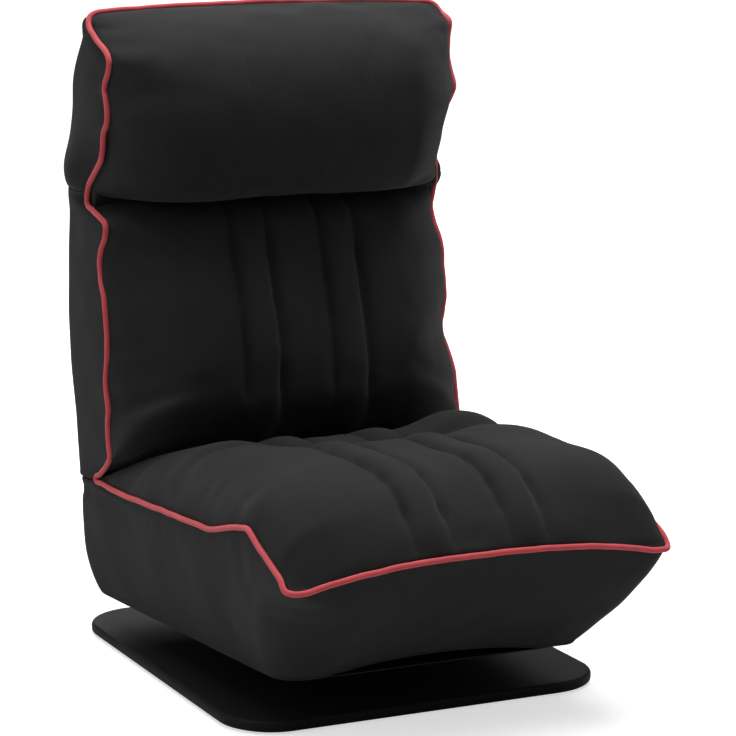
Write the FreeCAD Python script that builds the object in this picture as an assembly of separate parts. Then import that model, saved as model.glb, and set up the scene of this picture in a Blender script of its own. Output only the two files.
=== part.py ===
import FreeCAD, Part
import math
import os

# Floor gaming chair: a padded seat, back and head section on a low swivel plate.
# Millimetres. +Z up, the chair faces -Y, mirror symmetric in X. Left and right are as seen
# by someone who faces the chair, so left is at -X.
# Origin: the swivel axis where it meets the floor.

V = FreeCAD.Vector

# Base plate and its rubber mat
plate_width = 476.0
plate_depth = 536.0
plate_corner = 68.0
plate_thickness = 13.0
plate_edge = 4.5
mat_thickness = 2.0
mat_inset = 9.0

# Ball bearing turntable
swivel_plate_side = 190.0
swivel_plate_corner = 12.0
swivel_plate_thickness = 3.0
race_radius = 72.0
race_disc_radius = 82.0
race_depth = 5.0
race_gap = 2.0
ball_radius = 4.0
ball_count = 24
ball_clearance = 0.08
cage_thickness = 1.0
cage_width = 13.0
pivot_radius = 6.0
pivot_head_radius = 10.0
pivot_head_height = 2.5
running_clearance = 0.06
riser_radius = 86.0
riser_height = 25.0
bolt_radius = 4.0
bolt_offset = 32.0
bolt_head_radius = 6.5
bolt_head_height = 4.5
nut_across = 13.0
nut_height = 6.5
bolt_end = 2.0
screw_radius = 2.5
screw_offset = 80.0
screw_head_radius = 4.5
screw_head_height = 2.4
screw_length = 12.0

# Steel tube frames
rail_radius = 11.0
brace_radius = 9.5
tube_wall = 1.5
mounting_plate_width = 250.0
mounting_plate_depth = 256.0
mounting_plate_thickness = 4.0
cross_tube_inset = 18.0
leg_foot_inset = 86.0
webbing_thickness = 2.0
webbing_width = 50.0
seat_strap_count = 6
back_strap_count = 5
head_strap_count = 2

# Upholstery
half_width = 236.0
panel_thickness = 14.0
rear_corner = 30.0
cover_thickness = 1.5
foam_side_gap = 2.0
fit_gap = 0.3
piping_radius = 3.2
channel_inner = 35.0
channel_outer = 83.0
band_swell = 6.0
centre_swell = 3.0

# Seat
axis_y = 212.0
axis_z = 200.0
seat_length = 610.0
seat_overhang = 50.0
seat_undercut = 122.0
seat_rear_draw = 6.0
seat_front_tuck = 48.0
seat_rear_tuck = 9.0
seat_front_corner = 30.0
seat_bottom_corner = 44.0
seat_edge_rise = 4.0
seat_peak_rise = 49.0
seat_crown_rise = 110.0
seat_front_rail_setback = 70.0
seat_rail_drop = 15.0
seat_rail_end = 60.0

# Back
back_length = 362.0
back_piping_depth = 62.0
back_crown_depth = 148.0
back_rear_depth = 80.0

# Head section
head_length = 222.0
head_piping_depth = 62.0
head_crown_depth = 164.0
head_rear_depth = 80.0

# Joints
recline_forward = 4.0
recline_back = 86.0
head_forward = 25.0
head_back = 20.0
joint_margin = 1.5
seat_crease_angle = 25.5
side_crease_angle = 15.5
head_crease_angle = 17.0

# Ratchet hinges
hinge_radius = 26.0
tooth_depth = 3.0
tooth_pitch = 7.0
tooth_plate_thickness = 4.0
arm_thickness = 2.5
arm_radius = 20.0
arm_length = 100.0
arm_spacer_length = 20.0
strap_half = 8.0
strap_length = 110.0
pin_radius = 5.0
pin_head_radius = 8.0
pin_head_height = 1.6
pawl_thickness = 3.4
pawl_boss = 5.0
pawl_height = 16.0
pawl_angle = 90.0
spring_wire = 0.8
hinge_pad_radius = 34.0
hinge_pad_height = 14.0
hinge_pad_setback = 24.0
hinge_pad_lift = 13.0

# Heights of the parts stacked on the swivel axis
plate_top = mat_thickness + plate_thickness
lower_plate_top = plate_top + swivel_plate_thickness
ball_level = lower_plate_top + race_depth + race_gap / 2
upper_plate_bottom = ball_level + race_gap / 2 + race_depth
upper_plate_top = upper_plate_bottom + swivel_plate_thickness
riser_top = upper_plate_top + riser_height
cover_top = riser_top + cover_thickness
mounting_top = cover_top + mounting_plate_thickness
cross_tube_z = mounting_top + rail_radius

# Sideways stack of a hinge, from the side panel inwards
panel_inner = half_width - panel_thickness
pin_end = panel_inner - fit_gap
outer_arm_x = pin_end - pin_head_height - fit_gap - arm_thickness
seat_plate_x = outer_arm_x - fit_gap - tooth_plate_thickness
back_arm_x = seat_plate_x - fit_gap - arm_thickness
seat_rail_x = seat_plate_x - rail_radius
back_rail_x = back_arm_x - rail_radius
head_plate_x = back_arm_x
head_arm_x = head_plate_x - fit_gap - arm_thickness
head_rail_x = head_arm_x - rail_radius

# Half widths of the seat's drawn-in bottom, and of the frame's feet
seat_bottom_front_half = half_width - seat_front_tuck
seat_bottom_rear_half = half_width - seat_rear_tuck
leg_foot_x = half_width - leg_foot_inset

# Side view places
seat_front_y = axis_y - seat_length
seat_rear_y = axis_y + seat_overhang
seat_rail_z = axis_z - seat_rail_drop
seat_rail_rear = axis_y - seat_rail_end
seat_rail_front = seat_front_y + seat_front_rail_setback
head_z = axis_z + back_length
top_z = head_z + head_length
webbing_top = seat_rail_z + rail_radius + webbing_thickness
back_webbing_y = axis_y - rail_radius - webbing_thickness

# Seat piping: share of the seat's length forward of the hinge, share of the peak's rise
seat_piping_shares = (
    (0.0, 0.10), (0.056, 0.08), (0.139, 0.05), (0.389, 0.245), (0.648, 0.47), (0.779, 0.92),
    (0.833, 1.0), (0.867, 0.69), (0.956, 0.31), (1.0, 0.08))
# Seat crown: share of the length, share of the crown's rise at the seams
seat_crown_shares = (
    (0.056, 0.13), (0.10, 0.25), (0.203, 0.50), (0.265, 0.60), (0.348, 0.755), (0.413, 0.745),
    (0.449, 0.62), (0.487, 0.83), (0.561, 0.91), (0.659, 0.945), (0.757, 0.98), (0.839, 0.955),
    (0.897, 0.87), (0.938, 0.72), (0.97, 0.50), (0.993, 0.22), (1.0, 0.10))
# Back: share of its length up from the hinge, then the piping's and the seams' share of
# their depth in front of the hinge line, and the rear's share of its depth behind it
back_section_shares = (
    (0.0, 0.45, 0.95, 0.70), (0.064, 0.73, 0.97, 0.72), (0.119, 1.20, 0.98, 0.77),
    (0.207, 1.05, 0.99, 0.83), (0.287, 1.13, 1.0, 0.93), (0.373, 1.0, 0.995, 1.0),
    (0.461, 1.13, 0.97, 1.0), (0.608, 1.08, 0.90, 1.0), (0.727, 0.84, 0.80, 1.0),
    (0.818, 0.87, 0.70, 1.0), (0.865, 1.06, 0.63, 1.0), (0.912, 1.14, 0.555, 1.0),
    (0.931, 0.60, 0.42, 1.0), (0.956, 0.20, 0.15, 1.0), (0.985, 0.12, 0.10, 1.0))
# Head: share of its length up from its hinge, then the same shares of the head's depths
head_section_shares = (
    (-0.13, 0.20, 0.44, 1.0), (-0.054, 0.16, 0.66, 1.0), (0.032, 0.37, 0.82, 1.0),
    (0.126, 0.71, 0.905, 0.97), (0.225, 1.02, 0.957, 0.94), (0.347, 1.11, 0.988, 0.88),
    (0.446, 1.37, 1.0, 0.82), (0.608, 1.21, 0.988, 0.74), (0.734, 1.50, 0.927, 0.52),
    (0.784, 1.42, 0.88, 0.40), (0.842, 0.89, 0.79, 0.25), (0.914, 0.52, 0.59, 0.10),
    (0.973, 0.35, 0.32, -0.05), (1.0, 0.29, 0.17, -0.10))
# Section across a cushion: share of the half width, share of the crown at that place
edge_mid_shares = (0.955, 0.50)
edge_end_shares = (0.86, 0.84)
side_mid_shares = (0.62, 1.06)
# How much of the shorter run or side an arc may use up, and other shares of one size
arc_reach_share = 0.45
tooth_rise_share = 0.7
gusset_depth_share = 0.8
head_rail_share = 0.734


def interpolate(table, column, share):
    for low, high in zip(table, table[1:]):
        if share <= high[0]:
            return low[column] + (high[column] - low[column]) * (share - low[0]) / (high[0] - low[0])
    return table[-1][column]


def block(x0, x1, y0, y1, z0, z1):
    return Part.makeBox(x1 - x0, y1 - y0, z1 - z0, V(x0, y0, z0))


def rounded_rectangle(half_x, half_y, corner, z):
    points = []
    for sign_x, sign_y in ((1, -1), (1, 1), (-1, 1), (-1, -1)):
        points.append((sign_x * half_x, sign_y * half_y))
    return rounded_outline(points, [corner] * len(points), z)


def rounded_outline(points, corners, z):
    """Closed wire through the corner points, each rounded by its own radius."""
    arcs = []
    for i, (x, y) in enumerate(points):
        here = V(x, y, z)
        before = V(*points[i - 1], z) - here
        after = V(*points[(i + 1) % len(points)], z) - here
        before.normalize()
        after.normalize()
        half = before.getAngle(after) / 2
        reach = corners[i] / math.tan(half)
        middle = before + after
        middle.normalize()
        bow = corners[i] / math.sin(half) - corners[i]
        arcs.append((here + before * reach, here + middle * bow, here + after * reach))
    edges = []
    for i, (start, middle, end) in enumerate(arcs):
        edges.append(Part.Arc(start, middle, end).toShape())
        edges.append(Part.LineSegment(end, arcs[(i + 1) % len(arcs)][0]).toShape())
    return Part.Wire(edges)


def plate(half_x, half_y, corner, z0, z1):
    return Part.Face(rounded_rectangle(half_x, half_y, corner, z0)).extrude(V(0, 0, z1 - z0))


def disc(radius, z0, z1, x=0, y=0):
    return Part.makeCylinder(radius, z1 - z0, V(x, y, z0))


def side_disc(radius, x0, x1, y, z):
    return Part.makeCylinder(radius, x1 - x0, V(x0, y, z), V(1, 0, 0))


def side_prism(outline, x0, x1):
    """Solid with the given outline of (y, z) points, from x0 to x1."""
    corners = [V(x0, y, z) for y, z in outline]
    return Part.Face(Part.makePolygon(corners + corners[:1])).extrude(V(x1 - x0, 0, 0))


def rod(start, end, radius):
    return Part.makeCylinder(radius, (end - start).Length, start, end - start)


def tube(start, end, radius):
    return rod(start, end, radius).cut(rod(start, end, radius - tube_wall))


def mirrored(shape):
    return shape.mirror(V(0, 0, 0), V(1, 0, 0))


def hexagon(across, z0, z1, x, y):
    radius = across / math.sqrt(3)
    corners = []
    for i in range(6):
        turn = math.radians(60 * i)
        corners.append(V(x + radius * math.cos(turn), y + radius * math.sin(turn), z0))
    return Part.Face(Part.makePolygon(corners + corners[:1])).extrude(V(0, 0, z1 - z0))


def rounded_path(points):
    """Straight runs joined by tangent arcs, each as large as its two runs allow."""
    edges = []
    last = points[0]
    for before, here, after in zip(points, points[1:], points[2:]):
        back_way = (before - here)
        forward = (after - here)
        shorter = min(back_way.Length, forward.Length)
        back_way.normalize()
        forward.normalize()
        turn = math.pi - back_way.getAngle(forward)
        reach = arc_reach_share * shorter
        radius = reach / math.tan(turn / 2)
        middle = back_way + forward
        middle.normalize()
        bow = radius / math.cos(turn / 2) - radius
        start = here + back_way * reach
        end = here + forward * reach
        edges.append(Part.LineSegment(last, start).toShape())
        edges.append(Part.Arc(start, here + middle * bow, end).toShape())
        last = end
    edges.append(Part.LineSegment(last, points[-1]).toShape())
    return Part.Wire(edges)


def piping_along(points):
    path = rounded_path(points)
    start = points[1] - points[0]
    ring = Part.Wire(Part.Circle(points[0], start, piping_radius).toShape())
    return path.makePipeShell([ring], True, False)


def ray(y, z, angle, length):
    """Point at a length from (y, z); 0 degrees points back, 90 up and 180 forward."""
    turn = math.radians(angle)
    return (y + length * math.cos(turn), z + length * math.sin(turn))


def fan(y, z, angles, length):
    """Closed outline of (y, z) points that opens from one point between the angles."""
    return [(y, z)] + [ray(y, z, angle, length) for angle in angles]


def save(name, shape):
    shape.exportStep(os.path.join("parts", name + ".step"))


def save_pair(name, right):
    """One node that holds a piece and its mirror image."""
    save(name, Part.makeCompound([right, mirrored(right)]))


def save_sides(name, right):
    """Two nodes, the piece on each side, given the right one."""
    save(name + "_right", right)
    save(name + "_left", mirrored(right))


def along_seat(share):
    return axis_y - share * seat_length


def seat_piping_z(share):
    return axis_z + seat_peak_rise * interpolate(seat_piping_shares, 1, share)


reach_x = half_width + piping_radius


# Base plate with its rubber mat


def corner_places(offset):
    return [(sx * offset, sy * offset) for sx in (-1, 1) for sy in (-1, 1)]


def base_plate():
    slab = plate(plate_width / 2, plate_depth / 2, plate_corner, mat_thickness, plate_top)
    rims = [edge for edge in slab.Edges if edge.BoundBox.ZLength < fit_gap]
    slab = slab.makeFillet(plate_edge, rims)
    for x, y in corner_places(screw_offset):
        slab = slab.cut(disc(screw_radius, lower_plate_top - screw_length, plate_top + fit_gap, x, y))
    return slab


def base_mat():
    half_x = plate_width / 2 - mat_inset
    half_y = plate_depth / 2 - mat_inset
    return plate(half_x, half_y, plate_corner - mat_inset, 0, mat_thickness)


# Ball bearing turntable


def race_groove():
    return Part.makeTorus(race_radius, ball_radius + ball_clearance, V(0, 0, ball_level))


def swivel_lower_plate():
    side = swivel_plate_side / 2
    shape = plate(side, side, swivel_plate_corner, plate_top, lower_plate_top)
    shape = shape.fuse(disc(race_disc_radius, lower_plate_top, lower_plate_top + race_depth))
    shape = shape.cut(race_groove())
    shape = shape.cut(disc(pivot_radius, plate_top - race_gap, lower_plate_top + race_depth + race_gap))
    for x, y in corner_places(screw_offset):
        shape = shape.cut(disc(screw_radius, plate_top - race_gap, lower_plate_top + race_gap, x, y))
    return shape


def swivel_upper_plate():
    side = swivel_plate_side / 2
    under = upper_plate_bottom - race_depth
    shape = plate(side, side, swivel_plate_corner, upper_plate_bottom, upper_plate_top)
    shape = shape.fuse(disc(race_disc_radius, under, upper_plate_bottom))
    shape = shape.cut(race_groove())
    bore = pivot_radius + running_clearance
    shape = shape.cut(disc(bore, under - race_gap, upper_plate_top + race_gap))
    for x, y in corner_places(bolt_offset):
        shape = shape.cut(disc(bolt_head_radius + fit_gap, under - race_gap, upper_plate_bottom, x, y))
        shape = shape.cut(disc(bolt_radius, under, upper_plate_top + race_gap, x, y))
    return shape


def swivel_pivot():
    head = upper_plate_top + fit_gap
    shank = disc(pivot_radius, plate_top, head)
    return shank.fuse(disc(pivot_head_radius, head, head + pivot_head_height))


def ball_places():
    for i in range(ball_count):
        turn = 2 * math.pi * i / ball_count
        yield race_radius * math.cos(turn), race_radius * math.sin(turn)


def swivel_balls():
    return Part.makeCompound([Part.makeSphere(ball_radius, V(x, y, ball_level)) for x, y in ball_places()])


def ball_cage():
    low = ball_level - cage_thickness / 2
    high = ball_level + cage_thickness / 2
    ring = disc(race_radius + cage_width / 2, low, high)
    ring = ring.cut(disc(race_radius - cage_width / 2, low, high))
    for x, y in ball_places():
        ring = ring.cut(disc(ball_radius + ball_clearance, low, high, x, y))
    return ring


def base_screws():
    screws = []
    for x, y in corner_places(screw_offset):
        shank = disc(screw_radius, lower_plate_top - screw_length, lower_plate_top, x, y)
        head = disc(screw_head_radius, lower_plate_top, lower_plate_top + screw_head_height, x, y)
        screws.append(shank.fuse(head))
    return Part.makeCompound(screws)


# Riser, mounting plate and the bolts through them


def swivel_riser():
    shape = disc(riser_radius, upper_plate_top, riser_top)
    shape = shape.cut(disc(pivot_head_radius + bolt_end, upper_plate_top, riser_top))
    for x, y in corner_places(bolt_offset):
        shape = shape.cut(disc(bolt_radius, upper_plate_top, riser_top, x, y))
    return shape


def mounting_plate():
    half_x = mounting_plate_width / 2
    half_y = mounting_plate_depth / 2
    shape = plate(half_x, half_y, swivel_plate_corner, cover_top, mounting_top)
    for x, y in corner_places(bolt_offset):
        shape = shape.cut(disc(bolt_radius, cover_top, mounting_top, x, y))
    return shape


def swivel_bolts():
    pieces = []
    for x, y in corner_places(bolt_offset):
        shank = disc(bolt_radius, upper_plate_bottom, mounting_top + nut_height + bolt_end, x, y)
        head = disc(bolt_head_radius, upper_plate_bottom - bolt_head_height, upper_plate_bottom, x, y)
        nut = hexagon(nut_across, mounting_top, mounting_top + nut_height, x, y).cut(shank)
        pieces += [shank.fuse(head), nut]
    return Part.makeCompound(pieces)


# Seat frame of welded tube


def cross_tube_ends(y):
    reach = leg_foot_x + rail_radius
    return V(-reach, y, cross_tube_z), V(reach, y, cross_tube_z)


cross_tube_y = mounting_plate_depth / 2 - cross_tube_inset
seat_rail_ends = (V(seat_rail_x, seat_rail_front, seat_rail_z), V(seat_rail_x, seat_rail_rear, seat_rail_z))


def cross_tubes():
    return Part.makeCompound([tube(*cross_tube_ends(y), rail_radius) for y in (-cross_tube_y, cross_tube_y)])


def support_legs():
    legs = []
    for y in (-cross_tube_y, cross_tube_y):
        leg = tube(V(leg_foot_x, y, cross_tube_z), V(seat_rail_x, y, seat_rail_z), brace_radius)
        leg = leg.cut(rod(*cross_tube_ends(y), rail_radius)).cut(rod(*seat_rail_ends, rail_radius))
        legs += [leg, mirrored(leg)]
    return Part.makeCompound(legs)


def cross_rail(x, y, z, along):
    """Tube between two side rails that run the way of along at +x and -x, butted against them."""
    side = rod(V(x, y, z) - along, V(x, y, z) + along, rail_radius)
    return tube(V(-x, y, z), V(x, y, z), brace_radius).cut(side).cut(mirrored(side))


def seat_cross_rails():
    places = (seat_rail_front + rail_radius, seat_rail_rear - rail_radius)
    along = V(0, 2 * rail_radius, 0)
    return Part.makeCompound([cross_rail(seat_rail_x, y, seat_rail_z, along) for y in places])


def spread(low, high, count):
    """Places for a number of straps, spread evenly between two ends."""
    step = (high - low - webbing_width) / (count - 1)
    return [low + step * i for i in range(count)]


def seat_webbing():
    low = seat_rail_front + 2 * rail_radius
    high = seat_rail_rear - 2 * rail_radius
    bottom = webbing_top - webbing_thickness
    straps = [block(-seat_rail_x, seat_rail_x, y, y + webbing_width, bottom, webbing_top)
              for y in spread(low, high, seat_strap_count)]
    return Part.makeCompound(straps)


# Seat upholstery: a hull that draws in to the bottom, cut into its sewn panels

seat_edge_z = axis_z + seat_edge_rise
hull_top = axis_z + seat_peak_rise + piping_radius
gusset_z = axis_z - gusset_depth_share * back_rear_depth
split_front = seat_bottom_front_half - seat_bottom_corner
split_rear = seat_bottom_rear_half - rear_corner


def seat_section(share, z, inset):
    front = seat_front_y + seat_undercut * (1 - share) + inset
    rear = seat_rear_y - seat_rear_draw * (1 - share) - inset
    half_front = seat_bottom_front_half + (half_width - seat_bottom_front_half) * share - inset
    half_rear = seat_bottom_rear_half + (half_width - seat_bottom_rear_half) * share - inset
    corner_front = seat_bottom_corner + (seat_front_corner - seat_bottom_corner) * share - inset
    corners = [corner_front, rear_corner - inset, rear_corner - inset, corner_front]
    points = [(half_front, front), (half_rear, rear), (-half_rear, rear), (-half_front, front)]
    return rounded_outline(points, corners, z)


def seat_hull(inset):
    levels = ((0, riser_top), (1, seat_edge_z), (1, hull_top))
    return Part.makeLoft([seat_section(share, z, inset) for share, z in levels], True, True)


def seat_shell():
    front = seat_front_y - piping_radius
    rear = seat_rear_y + piping_radius
    low = riser_top - piping_radius
    outline = [(front, low), (rear, low), (rear, gusset_z)]
    outline += [(axis_y - fit_gap, gusset_z), (axis_y - fit_gap, axis_z)]
    outline += [(along_seat(share), seat_piping_z(share)) for share, rise in seat_piping_shares[1:]]
    outline += [(front, seat_piping_z(1))]
    shell = seat_hull(0).cut(seat_hull(panel_thickness)).common(side_prism(outline, -reach_x, reach_x))
    return shell.cut(hinge_pockets(axis_y, axis_z))


def seat_panels():
    shell = seat_shell()
    front_y = seat_front_y - piping_radius
    rear_y = seat_rear_y + piping_radius
    front = block(-split_front, split_front, front_y, 0, 0, hull_top)
    rear = block(-split_rear, split_rear, axis_y, rear_y, 0, hull_top)
    save("seat_front_panel", shell.common(front))
    save("seat_rear_panel", shell.common(rear))
    right = block(0, reach_x, front_y, rear_y, 0, hull_top)
    save_sides("seat_side_panel", shell.cut(front).cut(rear).common(right))


def seat_bottom_cover():
    slab = Part.Face(seat_section(0, riser_top, panel_thickness)).extrude(V(0, 0, cover_thickness))
    for x, y in corner_places(bolt_offset):
        slab = slab.cut(disc(bolt_radius, riser_top, cover_top, x, y))
    return slab


def hinge_pockets(y, z):
    """Room in the foam round the two hinges on one axis."""
    outer = panel_inner + fit_gap
    right = side_disc(hinge_radius + foam_side_gap, head_arm_x - foam_side_gap, outer, y, z)
    return Part.makeCompound([right, mirrored(right)])


def seat_rear_gusset():
    soft = block(-reach_x, reach_x, axis_y + fit_gap, seat_rear_y, gusset_z, axis_z - fit_gap)
    return soft.common(seat_hull(0)).cut(hinge_pockets(axis_y, axis_z))


# Cushion sections: a flat base, drawn-in sides, and channels sewn down the middle


def arc(place, start, middle, end):
    return Part.Arc(place(*start), place(*middle), place(*end)).toShape()


def cushion_section(place, base, seam, swell, middle):
    """place(x, height) gives the point; swell is for a full crown, middle for the centre."""
    crown = seam - base
    edge_mid = (edge_mid_shares[0] * half_width, base + edge_mid_shares[1] * crown)
    edge_end = (edge_end_shares[0] * half_width, base + edge_end_shares[1] * crown)
    side_mid = (side_mid_shares[0] * half_width, base + side_mid_shares[1] * crown)
    band_mid = ((channel_inner + channel_outer) / 2, seam + swell)
    right = [(half_width, base), edge_mid, edge_end, side_mid, (channel_outer, seam), band_mid,
             (channel_inner, seam)]
    left = [(-x, height) for x, height in reversed(right)]
    run = right + [(0, seam + middle)] + left
    edges = [arc(place, *run[i:i + 3]) for i in range(0, len(run) - 1, 2)]
    edges.append(Part.LineSegment(place(*run[-1]), place(*run[0])).toShape())
    return Part.Wire(edges)


def pillow_section(place, base, crest):
    """A section with no channels, crowned from side to side."""
    crown = crest - base
    edge_mid = (edge_mid_shares[0] * half_width, base + edge_mid_shares[1] * crown)
    edge_end = (edge_end_shares[0] * half_width, base + edge_end_shares[1] * crown)
    right = [(half_width, base), edge_mid, edge_end]
    run = right + [(0, crest)] + [(-x, height) for x, height in reversed(right)]
    edges = [arc(place, *run[i:i + 3]) for i in range(0, len(run) - 1, 2)]
    edges.append(Part.LineSegment(place(*run[-1]), place(*run[0])).toShape())
    return Part.Wire(edges)


def seat_cushion():
    shares = sorted({row[0] for row in seat_crown_shares} | {row[0] for row in seat_piping_shares[1:]})
    sections = []
    for share in shares:
        y = along_seat(share)
        rise = interpolate(seat_crown_shares, 1, share)
        seam = axis_z + seat_crown_rise * rise
        sections.append(cushion_section(lambda x, z, y=y: V(x, y, z), seat_piping_z(share), seam,
                                        band_swell * rise, centre_swell * rise))
    plan = Part.Face(seat_section(1, axis_z, 0)).extrude(V(0, 0, 2 * seat_crown_rise))
    return Part.makeLoft(sections, True, True).common(plan)


def seat_foam():
    rows = [(along_seat(share), seat_piping_z(share)) for share, rise in seat_piping_shares[2:-1]]
    bottom = webbing_top + fit_gap
    outline = [(rows[-1][0], bottom), (rows[0][0], bottom)] + rows
    room = seat_hull(panel_thickness + foam_side_gap)
    return side_prism(outline, -half_width, half_width).common(room)


def seat_piping():
    front = seat_front_y - piping_radius
    z = seat_piping_z(1)
    side = [row[0] for row in seat_piping_shares[1:-1]]
    right = [V(reach_x, along_seat(share), seat_piping_z(share)) for share in side]
    right.append(V(reach_x, front + seat_front_corner / 2, z))
    right.append(V(reach_x - seat_front_corner / 2, front, z))
    left = [V(-point.x, point.y, point.z) for point in reversed(right)]
    return piping_along(right + left)


# Back and head upholstery: one hull each, cut by the folds at the two hinge lines


def upright_section(piping_y, rear_y, z, inset):
    """Straight front at the piping, with the two rear corners rounded."""
    half = half_width - inset
    rear = rear_y - inset
    corner = min(rear_corner - inset, arc_reach_share * (rear - piping_y))
    bow = corner * (1 - math.sqrt(0.5))
    right = [V(half, piping_y, z), V(half, rear - corner, z)]
    right += [V(half - bow, rear - bow, z), V(half - corner, rear, z)]
    left = [V(-point.x, point.y, z) for point in reversed(right)]
    front = Part.LineSegment(left[-1], right[0])
    right_side = Part.LineSegment(right[0], right[1])
    rear_face = Part.LineSegment(right[-1], left[0])
    left_side = Part.LineSegment(left[-2], left[-1])
    run = (front, right_side, Part.Arc(*right[1:]), rear_face, Part.Arc(*left[:-1]), left_side)
    return Part.Wire([line.toShape() for line in run])


def upright_hull(rows, bottom, length, piping_depth, rear_depth, inset):
    sections = []
    for share, piping, seam, rear in rows:
        sections.append(upright_section(axis_y - piping_depth * piping, axis_y + rear_depth * rear,
                                        bottom + length * share, inset))
    return Part.makeLoft(sections, True, True)


far = back_length + head_length
back_fold = 180 - seat_crease_angle - recline_forward - joint_margin
side_fold = 180 - side_crease_angle - recline_forward - joint_margin
head_seat_fold = 180 + head_crease_angle
head_fold = head_seat_fold - head_forward - joint_margin
head_rear_fold = head_back + joint_margin


def back_zone(front_fold):
    """The side outline that the back may fill between the two hinge lines."""
    low = axis_z + fit_gap
    high = head_z - fit_gap
    outline = [(axis_y, low), ray(axis_y, low, front_fold, far), ray(axis_y, high, head_seat_fold, far),
               (axis_y, high), ray(axis_y, high, 0, far), ray(axis_y, low, 0, far)]
    return side_prism(outline, -reach_x, reach_x)


def head_zone():
    outline = [(axis_y, head_z), ray(axis_y, head_z, head_fold, far), ray(axis_y, top_z, 180, far),
               ray(axis_y, top_z, 0, far), ray(axis_y, head_z, head_rear_fold, far)]
    return side_prism(outline, -reach_x, reach_x)


def back_hull(inset):
    return upright_hull(back_section_shares, axis_z, back_length, back_piping_depth, back_rear_depth, inset)


def head_hull(inset, rows=head_section_shares):
    return upright_hull(rows, head_z, head_length, head_piping_depth, head_rear_depth, inset)


def split_upright(name, shell):
    flat = half_width - rear_corner
    rear = block(-flat, flat, 0, axis_y + far, 0, top_z)
    right = block(0, reach_x, 0, axis_y + far, 0, top_z)
    save(name + "_rear_panel", shell.common(rear))
    return shell.cut(rear).common(right)


def back_panels():
    shell = back_hull(0).cut(back_hull(panel_thickness)).common(back_zone(side_fold))
    save_sides("back_side_panel", split_upright("back", shell))


def head_panels():
    hollow_rows = head_section_shares[:-3]
    shell = head_hull(0).cut(head_hull(panel_thickness, hollow_rows)).common(head_zone())
    save_pair("head_side_panels", split_upright("head", shell))


def back_cushion():
    sections = []
    for share, piping, seam, rear in back_section_shares:
        z = axis_z + back_length * share
        sections.append(cushion_section(lambda x, y, z=z: V(x, y, z), axis_y - back_piping_depth * piping,
                                        axis_y - back_crown_depth * seam, -band_swell * seam,
                                        centre_swell * seam))
    shape = Part.makeLoft(sections, True, True).common(back_zone(back_fold))
    return shape.cut(hinge_pockets(axis_y, axis_z)).cut(hinge_pockets(axis_y, head_z))


def head_pillow_and_roll():
    """The pillow, and the soft roll at its foot that folds when the head tilts."""
    sections = []
    for share, piping, crest, rear in head_section_shares:
        z = head_z + head_length * share
        sections.append(pillow_section(lambda x, y, z=z: V(x, y, z), axis_y - head_piping_depth * piping,
                                       axis_y - head_crown_depth * crest))
    whole = Part.makeLoft(sections, True, True).cut(hinge_pockets(axis_y, head_z))
    front = side_prism(fan(axis_y, head_z, (head_seat_fold, head_fold), far), -reach_x, reach_x)
    rear = side_prism(fan(axis_y, head_z, (0, head_rear_fold), far), -reach_x, reach_x)
    behind = block(-reach_x, reach_x, axis_y + hinge_radius + foam_side_gap, axis_y + far, 0, top_z)
    save("head_pillow", whole.common(head_zone()))
    wedge = head_hull(0).common(rear).common(behind)
    save("head_fold_roll", Part.makeCompound([whole.common(front), wedge]))


def upright_foam(rows, bottom, length, piping_depth):
    front = [(axis_y - piping_depth * row[1], bottom + length * row[0]) for row in rows]
    rear = back_webbing_y - fit_gap
    outline = front + [(rear, front[-1][1]), (rear, front[0][1])]
    reach = panel_inner - foam_side_gap
    return side_prism(outline, -reach, reach)


def side_line(rows, bottom, length, piping_depth):
    return [V(reach_x, axis_y - piping_depth * row[1], bottom + length * row[0]) for row in rows]


def back_piping():
    return piping_along(side_line(back_section_shares[1:-1], axis_z, back_length, back_piping_depth))


def head_piping():
    right = side_line(head_section_shares[2:-1], head_z, head_length, head_piping_depth)
    last = head_section_shares[-1]
    y = axis_y - head_piping_depth * last[1]
    right.append(V(half_width - piping_radius, y, top_z + piping_radius))
    left = [V(-point.x, point.y, point.z) for point in reversed(right)]
    return piping_along(right + left)


# Back and head frames


def upright_rail(x, low, high):
    return tube(V(x, axis_y, low), V(x, axis_y, high), rail_radius)


rail_lift = hinge_radius + rail_radius
back_rail_low = axis_z + rail_lift
back_rail_high = head_z - hinge_radius
head_rail_low = head_z + rail_lift
head_rail_top = head_z + head_rail_share * head_length


def upright_cross_rail(x, z):
    return cross_rail(x, axis_y, z, V(0, 0, 2 * rail_radius))


def back_cross_rails():
    low = back_rail_low + rail_radius
    high = back_rail_high - 2 * rail_radius
    return Part.makeCompound([upright_cross_rail(back_rail_x, z) for z in (low, high)])


def upright_webbing(x, low, high, count):
    straps = [block(-x, x, back_webbing_y, back_webbing_y + webbing_thickness, z, z + webbing_width)
              for z in spread(low, high, count)]
    return Part.makeCompound(straps)


# Ratchet hinges: a toothed plate, a forked arm with its pawl, and the pin through them


spacer_start = hinge_radius + 2 * fit_gap + pawl_height + pawl_boss


def tooth_outline(y, z, back, forward):
    """Teeth wherever the pawl goes, which stands over the pin at rest, and a plain rim elsewhere."""
    root = hinge_radius - tooth_depth
    start = pawl_angle - back - joint_margin
    count = math.ceil((back + forward + 2 * joint_margin) / tooth_pitch)
    outline = []
    for i in range(count):
        angle = start + tooth_pitch * i
        outline += [ray(y, z, angle, root), ray(y, z, angle + tooth_rise_share * tooth_pitch, hinge_radius)]
    end = start + tooth_pitch * count
    steps = round((360 - tooth_pitch * count) / tooth_pitch)
    plain = (360 - tooth_pitch * count) / steps
    return outline + [ray(y, z, end + plain * i, root) for i in range(steps)]


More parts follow.
